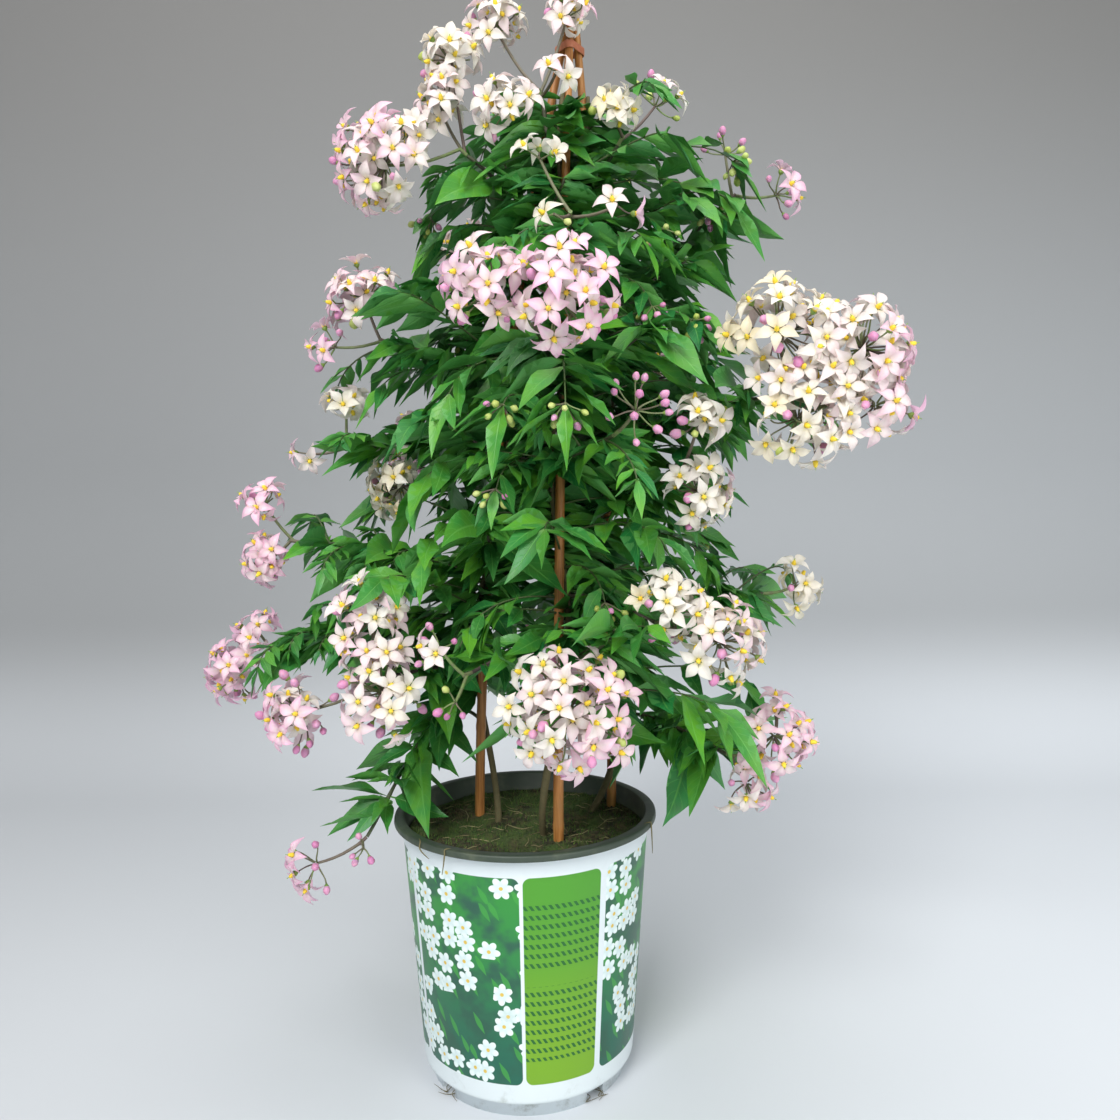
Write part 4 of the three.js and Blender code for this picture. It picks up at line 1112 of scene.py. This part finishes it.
# Turned bodies: (height, radius) from the back of a bloom or bud to its tip
ANTHER_HEIGHT = 4.2
ANTHER_RADIUS = [1.55, 0.8]
ANTHER = [
    (-0.2, 0.05), (0, ANTHER_RADIUS[0] * 0.8), (1, ANTHER_RADIUS[0]),
    (ANTHER_HEIGHT * 0.7, ANTHER_RADIUS[0] * 0.8), (ANTHER_HEIGHT, ANTHER_RADIUS[1]), (ANTHER_HEIGHT, 0.02),
]
CALYX = [(-0.1, 0.05), (-0.1, 2.2), (1.2, 1.7), (2.6, 0.6), (2.6, 0.02)]
BUD = [(-1.2, 0.4), (-0.4, 1.9), (1.2, 2.7), (3.0, 2.9), (4.8, 2.1), (5.9, 1.0), (6.2, 0.02)]
BUD_CUP = [(-2.6, 0.02), (-2.6, 0.7), (-1.2, 1.6), (0.6, 2.15), (0.7, 1.7)]


def add_petals(dress, at, direction, spin, reach, cup, blush, random, grid):
    """Five folded petals that spread round direction. cup is how far they lean forward."""
    rows, columns = grid
    a = np.linspace(0, 1, rows)[:, None]
    a = a + 0.05 * np.sin(2 * np.pi * a)
    b = np.linspace(-1, 1, columns)
    for k in range(5):
        out = square_to(direction, spin + 2 * math.pi * k / 5 + (random() - 0.5) * 0.12)
        side = cross(direction, out)
        far = reach * (0.92 + 0.2 * random())
        full = PETAL_HALF * far * np.sin(np.pi * np.clip(a, 0, 1) ** 0.74) * (1.08 - 0.3 * a)
        lean = cup + (random() - 0.5) * 0.4
        far = far / math.sqrt(1 + lean * lean)
        rho = 0.8 + (far - 0.8) * a
        half = np.minimum(0.74 * rho, full + 0.06)
        back = 0.05 + 0.35 * random()
        height = rho * lean - back * far * a**3 + 0.09 * far * np.sin(np.pi * a)
        twist = (random() - 0.5) * 0.9
        crease = 0.42 * half * np.abs(b) ** 1.3 + twist * half * b * a
        middle = at + out * rho[..., None] + side * (half * b)[..., None]
        middle = middle + direction * (height + crease)[..., None]
        ends = np.clip(np.minimum(a + 0.02, 1 - a) * 12, 0, 1)
        body = direction * (PETAL_THICKNESS * ends * (1 - b**2) * 0.5)[..., None]
        tone = min(1, max(-1, blush + (random() - 0.5) * 0.3))
        add_sheet(dress, middle + body, middle - body, "petal", a, b, (0, tone), (1, tone))


def add_cone(dress, at, direction, spin, levels, lobes, material, tint=0.5):
    """A small turned body along direction, of (height, radius) levels, with ribs as deep as lobes."""
    sides = 10
    u = square_to(direction, spin)
    v = cross(direction, u)
    a = (np.arange(sides) * (2 * math.pi / sides))[:, None]
    ribs = 1 + lobes * np.cos(5 * a)
    rings = [
        at + direction * height + (u * (np.cos(a) * ribs * radius) + v * (np.sin(a) * ribs * radius))
        for height, radius in levels
    ]
    share = np.repeat(np.linspace(0, 1, len(levels)), sides)
    dress.add(np.array(rings), grid_faces(len(levels), sides, ring=True), material, share, 0, tint)


def add_bloom(dress, site, lobe, blush, random, grid=PETAL_GRID):
    at, spin = site["at"], site["spin"]
    direction = unit(site["direction"] + square_to(site["direction"], random() * 6) * (0.55 * random()))
    at = at + site["radial"] * (3 * random() - 2)
    cup = 0.9 * random() * random() - 0.05
    reach = between(BLOOM_SPREAD, random())
    blush = blush + (random() - 0.5) * 0.5
    add_petals(dress, at, direction, spin, reach, cup, blush, random, grid)
    add_cone(dress, at, direction, spin, ANTHER, 0.12, "anther")
    add_pedicel(dress, lobe, at - direction * 2.2, direction, random)
    if grid == INNER_GRID:
        return
    tip = at + direction * ANTHER_HEIGHT
    add_tube(dress, [tip - direction, tip + direction * 1.8], [0.25, 0.3], 5, "stem_young")
    add_cone(dress, at, -direction, spin, CALYX, 0.1, "calyx")


def add_pedicel(dress, lobe, end, direction, random):
    """A thin stalk from near the middle of the lobe to the back of a bloom or bud."""
    out = unit(end - lobe["hub"])
    start = lobe["hub"] + out * (lobe["core"] * 0.15)
    far = size(end - start)
    bow = square_to(out, random() * 6) * far * 0.12
    curve = [start, start + out * far * 0.4 + bow, end - direction * far * 0.3, end]
    points = [bezier(curve, t) for t in np.linspace(0, 1, 6)]
    add_tube(dress, points, [0.7, 0.6, 0.55, 0.5, 0.5, 0.6], 5, "stalk", random(), caps=False)


def add_bud(dress, site, lobe, green, random, scale=1):
    at, direction, spin = site["at"], site["direction"], site["spin"]
    grown = (0.8 + 0.35 * random()) * scale
    material = "bud_green" if random() < green else "bud"
    for body, lobes, kind in ((BUD, 0.07, material), (BUD_CUP, 0.1, "calyx")):
        levels = [(h * grown, r * grown) for h, r in body]
        add_cone(dress, at, direction, spin, levels, lobes, kind, random())
    add_pedicel(dress, lobe, at - direction * 2.4 * grown, direction, random)


def add_inner(dress, head, lobe, random):
    """Blooms and buds that stand lower in a lobe, between the outer ones."""
    blooms = round(len(lobe["sites"]) * INNER_BLOOMS)
    buds = round(len(lobe["sites"]) * INNER_BUDS)
    for i in range(blooms + buds):
        rise = 1 - (1.5 * (i + 0.5)) / (blooms + buds)
        flat = square_to(lobe["facing"], i * GOLDEN_ANGLE + 1 + random())
        radial = unit(lobe["facing"] * rise + flat * math.sqrt(max(0, 1 - rise * rise)))
        deep = 0.75 + 0.25 * random() if i % 3 == 2 else 0.55 + 0.25 * random()
        site = {
            "at": lobe["hub"] + radial * (lobe["radius"] * deep - 1), "radial": radial,
            "direction": unit(radial + square_to(radial, random() * 6) * 0.5), "spin": random() * 6,
        }
        if i % 3 == 2:
            add_bud(dress, site, lobe, 0.1, random)
        else:
            add_bloom(dress, site, lobe, head_tone(head), random, INNER_GRID)


def head_tone(head):
    """How pink a head's petals are, or how creamy where it is below 0."""
    return head["blush"] - CREAM_SHARE * head["cream"]


def add_between(dress, head, random):
    """Blooms that close the gap between two lobes that stand against each other."""
    for i, lobe in enumerate(head["lobes"]):
        for other in head["lobes"][i + 1 :]:
            gap = other["hub"] - lobe["hub"]
            if size(gap) > BETWEEN_REACH * (lobe["radius"] + other["radius"]):
                continue
            facing = lobe["facing"] + other["facing"]
            facing = unit(facing - unit(gap) * float(facing @ unit(gap)))
            middle = mixed(lobe["hub"], other["hub"], 0.5)
            for k in range(BETWEEN_BLOOMS):
                turn = (k / (BETWEEN_BLOOMS - 1) - 0.5) * BETWEEN_TURN
                radial = facing * math.cos(turn) + cross(unit(gap), facing) * math.sin(turn)
                radial = unit(radial + unit(gap) * (0.4 * random() - 0.2))
                site = {
                    "at": middle + radial * (min(lobe["radius"], other["radius"]) * 0.72), "radial": radial,
                    "direction": radial, "spin": random() * 6,
                }
                add_bloom(dress, site, lobe, head_tone(head), random, INNER_GRID)


def dress_head(head):
    """A head: the peduncle, its fork, a stalk to each lobe, pedicels, blooms and buds."""
    dress = Dressing()
    random = seeded(900 + head["index"])
    middle = np.mean([lobe["hub"] for lobe in head["lobes"]], axis=0)
    add_tube(dress, [head["entry"], head["fork"] - head["inward"]], [1.3, 1.4], 7, "stalk", random())
    for lobe in head["lobes"]:
        start = lobe["start"]
        far = size(lobe["hub"] - start)
        sag = vec(0, 0, -0.06 * far)
        points = [mixed(start, lobe["hub"], t) + sag * math.sin(math.pi * t) for t in np.linspace(0, 1, 6)]
        add_tube(dress, points, [1.2, 1.15, 1.1, 1.05, 1.0, 0.9], 7, "stalk", random())
        buds = sum(site["bud"] for site in lobe["sites"])
        is_spray = 2 * buds >= len(lobe["sites"]) and lobe["radius"] < SPRAY_RADIUS
        for site in lobe["sites"]:
            if site["bud"]:
                green = head["cream"] * 1.5 if head["blush"] < 0.5 else 0.1
                add_bud(dress, site, lobe, green, random, SPRAY_BUD if is_spray else 1)
            else:
                outer = abs(site["at"][0]) - abs(middle[0])
                add_bloom(dress, site, lobe, head_tone(head) + OUTER_BLUSH * outer, random)
        if lobe["radius"] >= INNER_LEAST and not is_spray:
            add_inner(dress, head, lobe, random)
    if head["name"] in DENSE_HEADS:
        add_between(dress, head, random)
    dress.piece("bloom_head_" + head["name"], "blooms", head["owner"])


# Stems

TWIG_SPROUTS = [0.3, 0.45, 0.7, 0.82, 0.94]
VINE_SPROUTS = 80
VINE_RINGS = 260


def bark(points, sides, seed, depth):
    """Shares of a stem's radius that make it ridged and uneven."""
    random = seeded(seed)
    waves = [(random() * 6, 0.05 + 0.25 * random(), 1 + int(random() * 3)) for _ in range(5)]
    rows = np.arange(len(points))[:, None]
    a = np.arange(sides)[None] * (2 * math.pi / sides)
    sum_of_waves = sum(np.sin(rows * pace + a * turns + start) for start, pace, turns in waves)
    return 1 + depth * sum_of_waves / len(waves)


def knots(shares, at, width, height):
    """How much a stem swells at its nodes."""
    swell = np.zeros(len(shares))
    for s in at:
        swell = np.maximum(swell, np.exp(-(((shares - s) / width) ** 2)))
    return 1 + height * swell


def add_stem(dress, points, radii, sides, material, tint, seed, depth):
    """A tube with uneven bark."""
    add_tube(dress, points, radii, sides, material, tint, wobble=bark(points, sides, seed, depth))


def add_leaves(dress, leaves, random):
    for leaf in leaves:
        add_leaf(dress, leaf, *LEAF_GRID, random)


def dress_bough(bough):
    """A bough: its stem, the solid's leaves, smaller ones at its nodes, and thin shoots."""
    dress = Dressing()
    head = bough["head"]
    random = seeded(700 + head["index"])
    line, far = bough["line"], bough["far"]
    shares = np.linspace(0, 1, max(12, int(far / 3)))
    nodes = sorted({leaf["s"] for leaf in bough["leaves"]})
    radii = (1.45 - 0.2 * shares) * knots(shares, nodes, 2.5 / far, 0.35)
    add_stem(dress, [line(s) for s in shares], radii, 8, "stem", random(), head["index"], 0.12)
    add_leaves(dress, bough["leaves"], random)
    places = max(3, int(far / 11))
    for i in range(places):
        s = 0.1 + 0.84 * (i + 0.5) / places
        tangent = unit(line(min(1, s + 0.02)) - line(s - 0.02))
        sprout(dress, line, s, tangent, 6, [20, 48], random, bough["owner"])
        if i % 2 == 0 and head["name"] not in PLAIN_BOUGHS:
            sprig(dress, line, s, tangent, 34 + 34 * random(), random, bough["owner"])
    dress.piece("leafy_" + bough["owner"], "foliage", bough["owner"])


def dress_vine(vine):
    """A woody stem from under the compost to its tip, with its leaves, twigs and shoots."""
    dress = Dressing()
    random = seeded(800 + vine["index"])
    cane = vine["cane"]
    deep = (SOIL_TOP - VINE_FOOT) / (TOP[2] - SOIL_TOP)

    def line(s):
        return vine_at(cane, s) if s >= 0 else vine_at(cane, 0) + UP * (s / deep * (SOIL_TOP - VINE_FOOT))

    shares = np.linspace(-deep, VINE_END, VINE_RINGS)
    nodes = sorted({leaf["s"] for leaf in vine["leaves"]})
    radii = np.array([vine_radius(s) for s in shares]) * knots(shares, nodes, 0.006, 0.25)
    add_stem(dress, [line(s) for s in shares], radii, 10, "bark", 0.5, 40 + vine["index"], 0.22)
    add_leaves(dress, vine["leaves"], random)
    for twig in vine["twigs"]:
        reach = np.linspace(0, 0.95, 20)
        points = [twig["line"](s) for s in reach]
        add_stem(dress, points, 1.25 - 0.35 * reach, 7, "stem", random(), 5, 0.1)
        add_leaves(dress, twig["leaves"], random)
        for s in TWIG_SPROUTS:
            tangent = unit(twig["line"](s) - twig["line"](s - 0.03))
            sprout(dress, twig["line"], s, tangent, 6, [18, 42], random, vine["owner"])
    for i in range(VINE_SPROUTS):
        s = 0.16 + 0.75 * (i + 0.5) / VINE_SPROUTS
        if i % 2 == 0:
            sprig(dress, line, s, UP, 66 + 50 * random(), random, vine["owner"], spray=i % 6 == 0)
        sprout(dress, line, s, UP, 9, [26, 58], random, vine["owner"])
    dress.piece("leafy_" + vine["owner"], "foliage", vine["owner"])


# Pot, compost, canes and tie

ROUND_SIDES = 160
CRUMBS = 1500
MOSS_TIPS = 3200
STRAWS = 90


def slope(z):
    """The pot's outer radius at a height."""
    return between([BODY_FOOT_RADIUS, BODY_TOP_RADIUS], (z - FOOT_HEIGHT) / (POT_HEIGHT - FOOT_HEIGHT))


def turned(dress, profile, material, sides=ROUND_SIDES):
    """A turned surface from a profile of [radius, height] points."""
    a = np.arange(sides) * (2 * math.pi / sides)
    rings = [np.stack([r * np.cos(a), r * np.sin(a), np.full(sides, float(z))], axis=1) for r, z in profile]
    dress.add(np.array(rings), grid_faces(len(profile), sides, ring=True), material)


def quarter(r, z, radius, start, count=4):
    """Points on a quarter turn about a centre, anticlockwise from start degrees."""
    turns = [math.radians(start + 90 * i / count) for i in range(count + 1)]
    return [[r + radius * math.cos(a), z + radius * math.sin(a)] for a in turns]


def dress_pot():
    """The pot as a welded solid in three materials, with its notches and holes cut, and dry strands on it."""
    dress = Dressing()
    under_lip = POT_HEIGHT - LIP_HEIGHT
    in_foot = FOOT_RADIUS - FOOT_RING_WIDTH
    floor = CHANNEL_HEIGHT + FLOOR
    foot = [
        [0.01, 0], [PAD_RADIUS, 0], [PAD_RADIUS + 2, CHANNEL_HEIGHT], [in_foot - 2, CHANNEL_HEIGHT],
        [in_foot, 0], [FOOT_RADIUS, 0], [FOOT_RADIUS + 0.8, FOOT_HEIGHT - 0.6],
        [BODY_FOOT_RADIUS - 1, FOOT_HEIGHT],
    ]
    turned(dress, foot, "pot_foot")
    side = [[BODY_FOOT_RADIUS - 1, FOOT_HEIGHT], [BODY_FOOT_RADIUS, FOOT_HEIGHT + 1]]
    side += [[slope(z), z] for z in np.linspace(FOOT_HEIGHT + 3, under_lip, 12)]
    turned(dress, side, "pot_print")
    lip = [
        [slope(under_lip), under_lip], *quarter(RIM_RADIUS - 1, under_lip + 1, 1, -90),
        *quarter(RIM_RADIUS - 1.6, POT_HEIGHT - 1.4, 1.4, 0), [slope(POT_HEIGHT) - WALL + 0.6, POT_HEIGHT],
        [slope(POT_HEIGHT) - WALL, POT_HEIGHT - 0.6], [slope(FOOT_HEIGHT + 2) - WALL, FOOT_HEIGHT + 2],
        [in_foot + 1, floor], [PAD_RADIUS - 1, floor], [PAD_RADIUS - 3, FLOOR], [0.01, FLOOR],
    ]
    turned(dress, lip, "pot_rim")
    pot = dress.build("printed_pot")
    weld(pot)
    cut(pot, foot_cutters())
    strands = Dressing()
    add_strands(strands)
    join(pot, strands.build("strands"))
    register(pot, "pot", "pot")


def weld(obj):
    """Joins the rings that lie on each other and turns the faces outward."""
    solid = bmesh.new()
    solid.from_mesh(obj.data)
    bmesh.ops.remove_doubles(solid, verts=solid.verts, dist=0.03 * MM)
    bmesh.ops.recalc_face_normals(solid, faces=solid.faces)
    solid.to_mesh(obj.data)
    solid.free()


def join(obj, other):
    """Makes other a part of obj."""
    bpy.ops.object.select_all(action="DESELECT")
    other.select_set(True)
    obj.select_set(True)
    bpy.context.view_layer.objects.active = obj
    bpy.ops.object.join()


def add_thread(dress, points, radius, material, tint=0.5):
    """A thin dry strand that tapers to both ends."""
    points = [vec(*p) for p in points]
    shares = np.linspace(0, 1, 12)
    line = [catmull(points, t) for t in shares]
    add_tube(dress, line, radius * (0.35 + 0.65 * np.sin(np.pi * shares)), 5, material, tint)


def catmull(points, t):
    """A smooth curve through the points."""
    count = len(points) - 1
    i = min(int(t * count), count - 1)
    u = t * count - i
    before, after = points[max(i - 1, 0)], points[min(i + 2, count)]
    p, q = points[i], points[i + 1]
    return 0.5 * (
        2 * p + (q - before) * u + (2 * before - 5 * p + 4 * q - after) * u * u
        + (3 * p - before - 3 * q + after) * u**3
    )


def around(angle, radius, z):
    """A point by its angle in degrees from the front, its radius and its height."""
    a = math.radians(angle)
    return [radius * math.sin(a), -radius * math.cos(a), z]


def add_strands(dress):
    """Dry stalks that lie on the rim and root threads that hang from the foot's notches."""
    under = POT_HEIGHT - LIP_HEIGHT
    for angle, hang, lean in ((68, 20, 4), (-31, 13, -2), (-45, 5, 5)):
        strand = [
            around(angle - lean, RIM_RADIUS - 4.5, POT_HEIGHT - 0.5),
            around(angle, RIM_RADIUS - 0.2, POT_HEIGHT + 0.1),
            around(angle, RIM_RADIUS + 0.5, under + 1),
            around(angle + lean / 3, RIM_RADIUS + 0.3, under - hang * 0.4),
            around(angle + lean, RIM_RADIUS - 0.5, under - hang),
        ]
        add_thread(dress, strand, 0.55, "straw", 0.2)
    random = seeded(77)
    for angle in NOTCH_ANGLES:
        for _ in range(4):
            turn = angle - 5 + 10 * random()
            far = FOOT_RADIUS + 2 + 7 * random()
            strand = [
                around(turn, FOOT_RADIUS - 7, 3),
                around(turn + 3 * random(), FOOT_RADIUS - 1, 2.2),
                around(turn + 9 * random() - 4, (far + FOOT_RADIUS) / 2, 0.9 + random()),
                around(turn + 16 * random() - 8, far, 0.8),
            ]
            add_thread(dress, strand, 0.28, "straw", 0.2 * random())


def foot_cutters():
    """The notches in the foot ring and the drain holes between the ring and the pad."""
    cutters = []
    for angle in NOTCH_ANGLES:
        bpy.ops.mesh.primitive_cube_add(size=1)
        notch = bpy.context.object
        notch.data.transform(Matrix.Diagonal((NOTCH_WIDTH * MM, 30 * MM, NOTCH_HEIGHT * 2 * MM, 1)))
        notch.data.transform(Matrix.Translation((0, -FOOT_RADIUS * MM, 0)))
        notch.data.transform(Matrix.Rotation(math.radians(angle), 4, "Z"))
        cutters.append(notch)
    ring = (PAD_RADIUS + FOOT_RADIUS - FOOT_RING_WIDTH) / 2
    for i in range(DRAIN_HOLES):
        a = 2 * math.pi * (i + 0.5) / DRAIN_HOLES
        at = (ring * math.cos(a) * MM, ring * math.sin(a) * MM, 0)
        bpy.ops.mesh.primitive_cylinder_add(vertices=32, radius=DRAIN_RADIUS * MM, depth=0.04, location=at)
        cutters.append(bpy.context.object)
    return cutters


def cut(obj, cutters):
    """Takes the cutters out of a mesh."""
    for cutter in cutters:
        modifier = obj.modifiers.new("cut", "BOOLEAN")
        modifier.operation = "DIFFERENCE"
        modifier.solver = "EXACT"
        modifier.object = cutter
    bpy.context.view_layer.update()
    shaped = bpy.data.meshes.new_from_object(obj.evaluated_get(bpy.context.evaluated_depsgraph_get()))
    obj.modifiers.clear()
    obj.data = shaped
    for cutter in cutters:
        bpy.data.objects.remove(cutter)


def soil_height(x, y):
    return SOIL_TOP + SOIL_RELIEF * (np.sin(x / 13 + 1.2) * np.cos(y / 17) + 0.5 * np.sin((x + 2 * y) / 11))


def lumps(x, y, seed, count=14):
    """Uneven ground: waves of many lengths in many directions."""
    random = seeded(seed)
    total = np.zeros_like(x)
    for _ in range(count):
        turn = random() * math.pi * 2
        length = 5 + 22 * random()
        phase = (x * math.cos(turn) + y * math.sin(turn)) * (2 * math.pi / length) + random() * 6
        total += np.sin(phase) * length * 0.012
    return total


def ground(x, y):
    """The compost's height at a place."""
    return float(soil_height(x, y) + lumps(np.array([x]), np.array([y]), 3)[0])


def scattered(reach, random):
    """A place on the compost, within reach of the pot's axis, and its turn round it."""
    far, turn = reach * math.sqrt(random()), random() * 2 * math.pi
    return far * math.cos(turn), far * math.sin(turn), turn


def add_crumbs(dress, inside, random):
    corner = np.array([[1, 0, 0], [0, 1, 0], [-1, 0, 0], [0, -1, 0], [0, 0, 0.9], [0, 0, -0.9]])
    faces = [[0, 1, 4], [1, 2, 4], [2, 3, 4], [3, 0, 4], [1, 0, 5], [2, 1, 5], [3, 2, 5], [0, 3, 5]]
    for _ in range(CRUMBS):
        x, y, _ = scattered(inside - 3, random)
        grain = 0.5 + 1.7 * random() ** 2
        shape = corner * [grain * (0.6 + random()), grain, grain * (0.5 + 0.6 * random())]
        twist = np.array(Euler((random(), random(), random() * 6)).to_matrix())
        dress.add(shape @ twist.T + vec(x, y, ground(x, y) + 0.2), faces, "soil", tint=random(), smooth=False)


def add_moss(dress, inside, random):
    faces = [[0, 1, 3], [1, 2, 3], [2, 0, 3], [2, 1, 0]]
    for _ in range(MOSS_TIPS):
        x, y, turn = scattered(inside - 2, random)
        tall = 1.0 + 2.4 * random()
        lean = vec(random() - 0.5, random() - 0.5, 0) * 1.6
        base = vec(x, y, ground(x, y) - 0.4)
        root = [base + vec(math.cos(k * 2.1 + turn), math.sin(k * 2.1 + turn), 0) * 0.45 for k in range(3)]
        dress.add([*root, base + UP * tall + lean * tall * 0.5], faces, "moss", tint=random(), smooth=False)


def add_straws(dress, inside, random):
    for _ in range(STRAWS):
        px, py, _ = scattered(inside - 8, random)
        way = random() * 2 * math.pi
        length = 6 + 16 * random()
        points = []
        for k in range(4):
            step = (k / 3 - 0.5) * length
            x = px + step * math.cos(way + 0.2 * k)
            y = py + step * math.sin(way + 0.2 * k)
            pull = min(1, (inside - 2) / max(1, math.hypot(x, y)))
            points.append(vec(x * pull, y * pull, ground(x * pull, y * pull) + 0.7 + 0.5 * math.sin(k * 2)))
        add_tube(dress, points, [0.28, 0.36, 0.33, 0.2], 4, "straw", random())


def dress_soil():
    """Compost with lumps, crumbs, moss and straws on it."""
    dress = Dressing()
    inside = slope(SOIL_TOP) - WALL - GAP
    low = FOOT_HEIGHT + 4
    sides, rings = 180, 60
    a = np.arange(sides) * (2 * math.pi / sides)
    r = (np.linspace(0.0, 1, rings) ** 0.8 * (inside - 0.2) + 0.01)[:, None]
    x, y = r * np.cos(a)[None], r * np.sin(a)[None]
    fade = np.clip((inside - r) / 12, 0, 1)
    z = SOIL_TOP + (soil_height(x, y) - SOIL_TOP + lumps(x, y, 3)) * (0.25 + 0.75 * fade)
    dress.add(np.stack([x, y, z], axis=-1), grid_faces(rings, sides, ring=True)[:, ::-1], "soil")
    turned(dress, [[inside, SOIL_TOP - 1.5], [slope(low) - WALL - GAP, low], [0.01, low]], "soil", sides)
    random = seeded(77)
    for add in (add_crumbs, add_moss, add_straws):
        add(dress, inside, random)
    dress.piece("mossy_compost", "compost", "soil")


def dress_cane(cane, index):
    """A bowed cane that swells a little at its nodes."""
    dress = Dressing()
    low = cane_share(CANE_FOOT)
    shares = np.linspace(low, 1, 240)
    points = [cane_at(cane, s) for s in shares]
    nodes = [0.02 + index * 0.05 + 0.155 * i for i in range(7)]
    radii = np.array([cane_radius(cane_share(p[2])) for p in points]) * knots(shares, nodes, 0.004, 0.13)
    add_tube(dress, points, radii, 14, "bamboo", 0.3 + 0.2 * index)
    dress.piece("bamboo_" + cane["name"], "cane", "cane_" + cane["name"])


def dress_tie():
    """A band drawn tight round the three canes."""
    dress = Dressing()
    middle = vec(TOP[0], TOP[1], TIE_LEVEL)
    clear = cane_radius(1) + GAP + 0.4 + TIE_THICKNESS / 2
    corners = []
    for cane in CANES:
        centre = cane_at(cane, cane_share(TIE_LEVEL))
        outward = compass(centre - middle)
        for turn in range(-60, 61, 15):
            a = outward + math.radians(turn)
            corners.append(vec(centre[0] + clear * math.cos(a), centre[1] + clear * math.sin(a), TIE_LEVEL))
    ring = np.array(sorted(corners, key=lambda p: compass(p - middle)))
    out = ring - middle
    out /= np.linalg.norm(out, axis=1)[:, None]
    w, t = TIE_WIDTH / 2, TIE_THICKNESS / 2
    section = [(-t, -w + 0.3), (-t + 0.2, -w), (t - 0.2, -w), (t, -w + 0.3), (t, w - 0.3), (t - 0.2, w)]
    section += [(-t + 0.2, w), (-t, w - 0.3)]
    rows = [ring + out * o + UP * h for o, h in section]
    rows.append(rows[0])
    dress.add(np.array(rows), grid_faces(len(rows), len(ring), ring=True), "tie")
    dress.piece("tie_band", "tie", "cane_tie")


# The object

dress_pot()
dress_soil()
for index, cane in enumerate(CANES):
    dress_cane(cane, index)
dress_tie()
for vine in vines:
    dress_vine(vine)
for bough in boughs:
    dress_bough(bough)
for head in heads:
    dress_head(head)


# Stage in metres: a pale sweep, soft studio light and the camera

SWEEP_WIDTH = 6
SWEEP_BACK = 1.1
SWEEP_FRONT = -2.4
SWEEP_TURN = 0.5
SWEEP_HEIGHT = 3.2
SWEEP_STEPS = 16

SKY_COLOUR = (0.9, 0.95, 1, 1)
SKY_STRENGTH = 0.35

# Lamps: place, aim, width, height and watts
LAMPS = {
    "key": ((-0.7, -1.8, 1.8), (0, 0, 0.4), 1.1, 1.1, 50),
    "fill": ((1.4, -1.6, 0.9), (0, 0, 0.35), 1.2, 1.2, 20),
    "top": ((0, 0.1, 2.2), (0, 0, 0), 1.4, 1.0, 13),
}

# The camera stands a little right of the pot's axis, tipped down and rolled slightly
CAMERA_PLACE = (0.0278, -0.6564, 0.4046)
CAMERA_DOWN = 3.268
CAMERA_ROLL = -0.812
CAMERA_LENS = 29.27


def place(name, data):
    """A new object of the stage."""
    obj = bpy.data.objects.new(name, data)
    bpy.context.scene.collection.objects.link(obj)
    return obj


def make_sweep():
    """A floor that turns up into a wall, palest at the foot. Painted shade darkens it with height and to the
    left.
    """
    profile = [[SWEEP_FRONT, 0], [SWEEP_BACK - SWEEP_TURN, 0]]
    for i in range(1, SWEEP_STEPS + 1):
        a = math.radians(90 * i / SWEEP_STEPS)
        profile.append([SWEEP_BACK - SWEEP_TURN + SWEEP_TURN * math.sin(a), SWEEP_TURN * (1 - math.cos(a))])
    profile.append([SWEEP_BACK, SWEEP_HEIGHT])
    points = [(x, y, z) for y, z in profile for x in (-SWEEP_WIDTH / 2, SWEEP_WIDTH / 2)]
    faces = [[2 * i, 2 * i + 1, 2 * i + 3, 2 * i + 2] for i in range(len(profile) - 1)]
    mesh = bpy.data.meshes.new("sweep")
    mesh.from_pydata(points, [], faces)
    mesh.shade_smooth()
    n = Nodes("sweep")
    x, _, z = n.parts(n.object)
    # Painted shade: the colour darkens with height, from the pale floor up the wall
    rise = n.mix(n.span(z, 0.0, 0.22), (0.76, 0.795, 0.83), (0.4, 0.415, 0.425))
    shaded_by_height = n.mix(n.span(z, 0.3, 1.5), rise, (0.21, 0.205, 0.195))
    # Painted shade: the colour dims to the left
    shaded_to_left = n.mix(n.span(x, -0.9, 0.6, 0.4, 0.0), shaded_by_height, (0.22, 0.215, 0.21))
    mesh.materials.append(n.finish(shaded_to_left, 0.9))
    sweep = place("sweep", mesh)


def make_lamp(name, at, aim, width, height, watts):
    data = bpy.data.lights.new(name, "AREA")
    data.shape = "RECTANGLE"
    data.size = width
    data.size_y = height
    data.energy = watts
    lamp = place(name, data)
    lamp.location = at
    x, y, z = np.array(at) - np.array(aim)
    lamp.rotation_euler = (math.atan2(math.hypot(x, y), z), 0, math.atan2(x, -y))


def make_world():
    world = bpy.data.worlds.new("studio")
    world.use_nodes = True
    background = world.node_tree.nodes["Background"]
    background.inputs["Color"].default_value = SKY_COLOUR
    background.inputs["Strength"].default_value = SKY_STRENGTH
    bpy.context.scene.world = world


def make_camera():
    data = bpy.data.cameras.new("camera")
    data.lens = CAMERA_LENS
    data.sensor_width = 36
    data.clip_start = 0.01
    camera = place("camera", data)
    tilt = Euler((math.radians(90 - CAMERA_DOWN), 0, 0)).to_matrix().to_4x4()
    roll = Matrix.Rotation(math.radians(CAMERA_ROLL), 4, "Z")
    camera.matrix_world = Matrix.Translation(CAMERA_PLACE) @ tilt @ roll
    bpy.context.scene.camera = camera


make_sweep()
make_world()
for name, values in LAMPS.items():
    make_lamp(name, *values)
make_camera()
bpy.context.scene.view_settings.view_transform = "Standard"
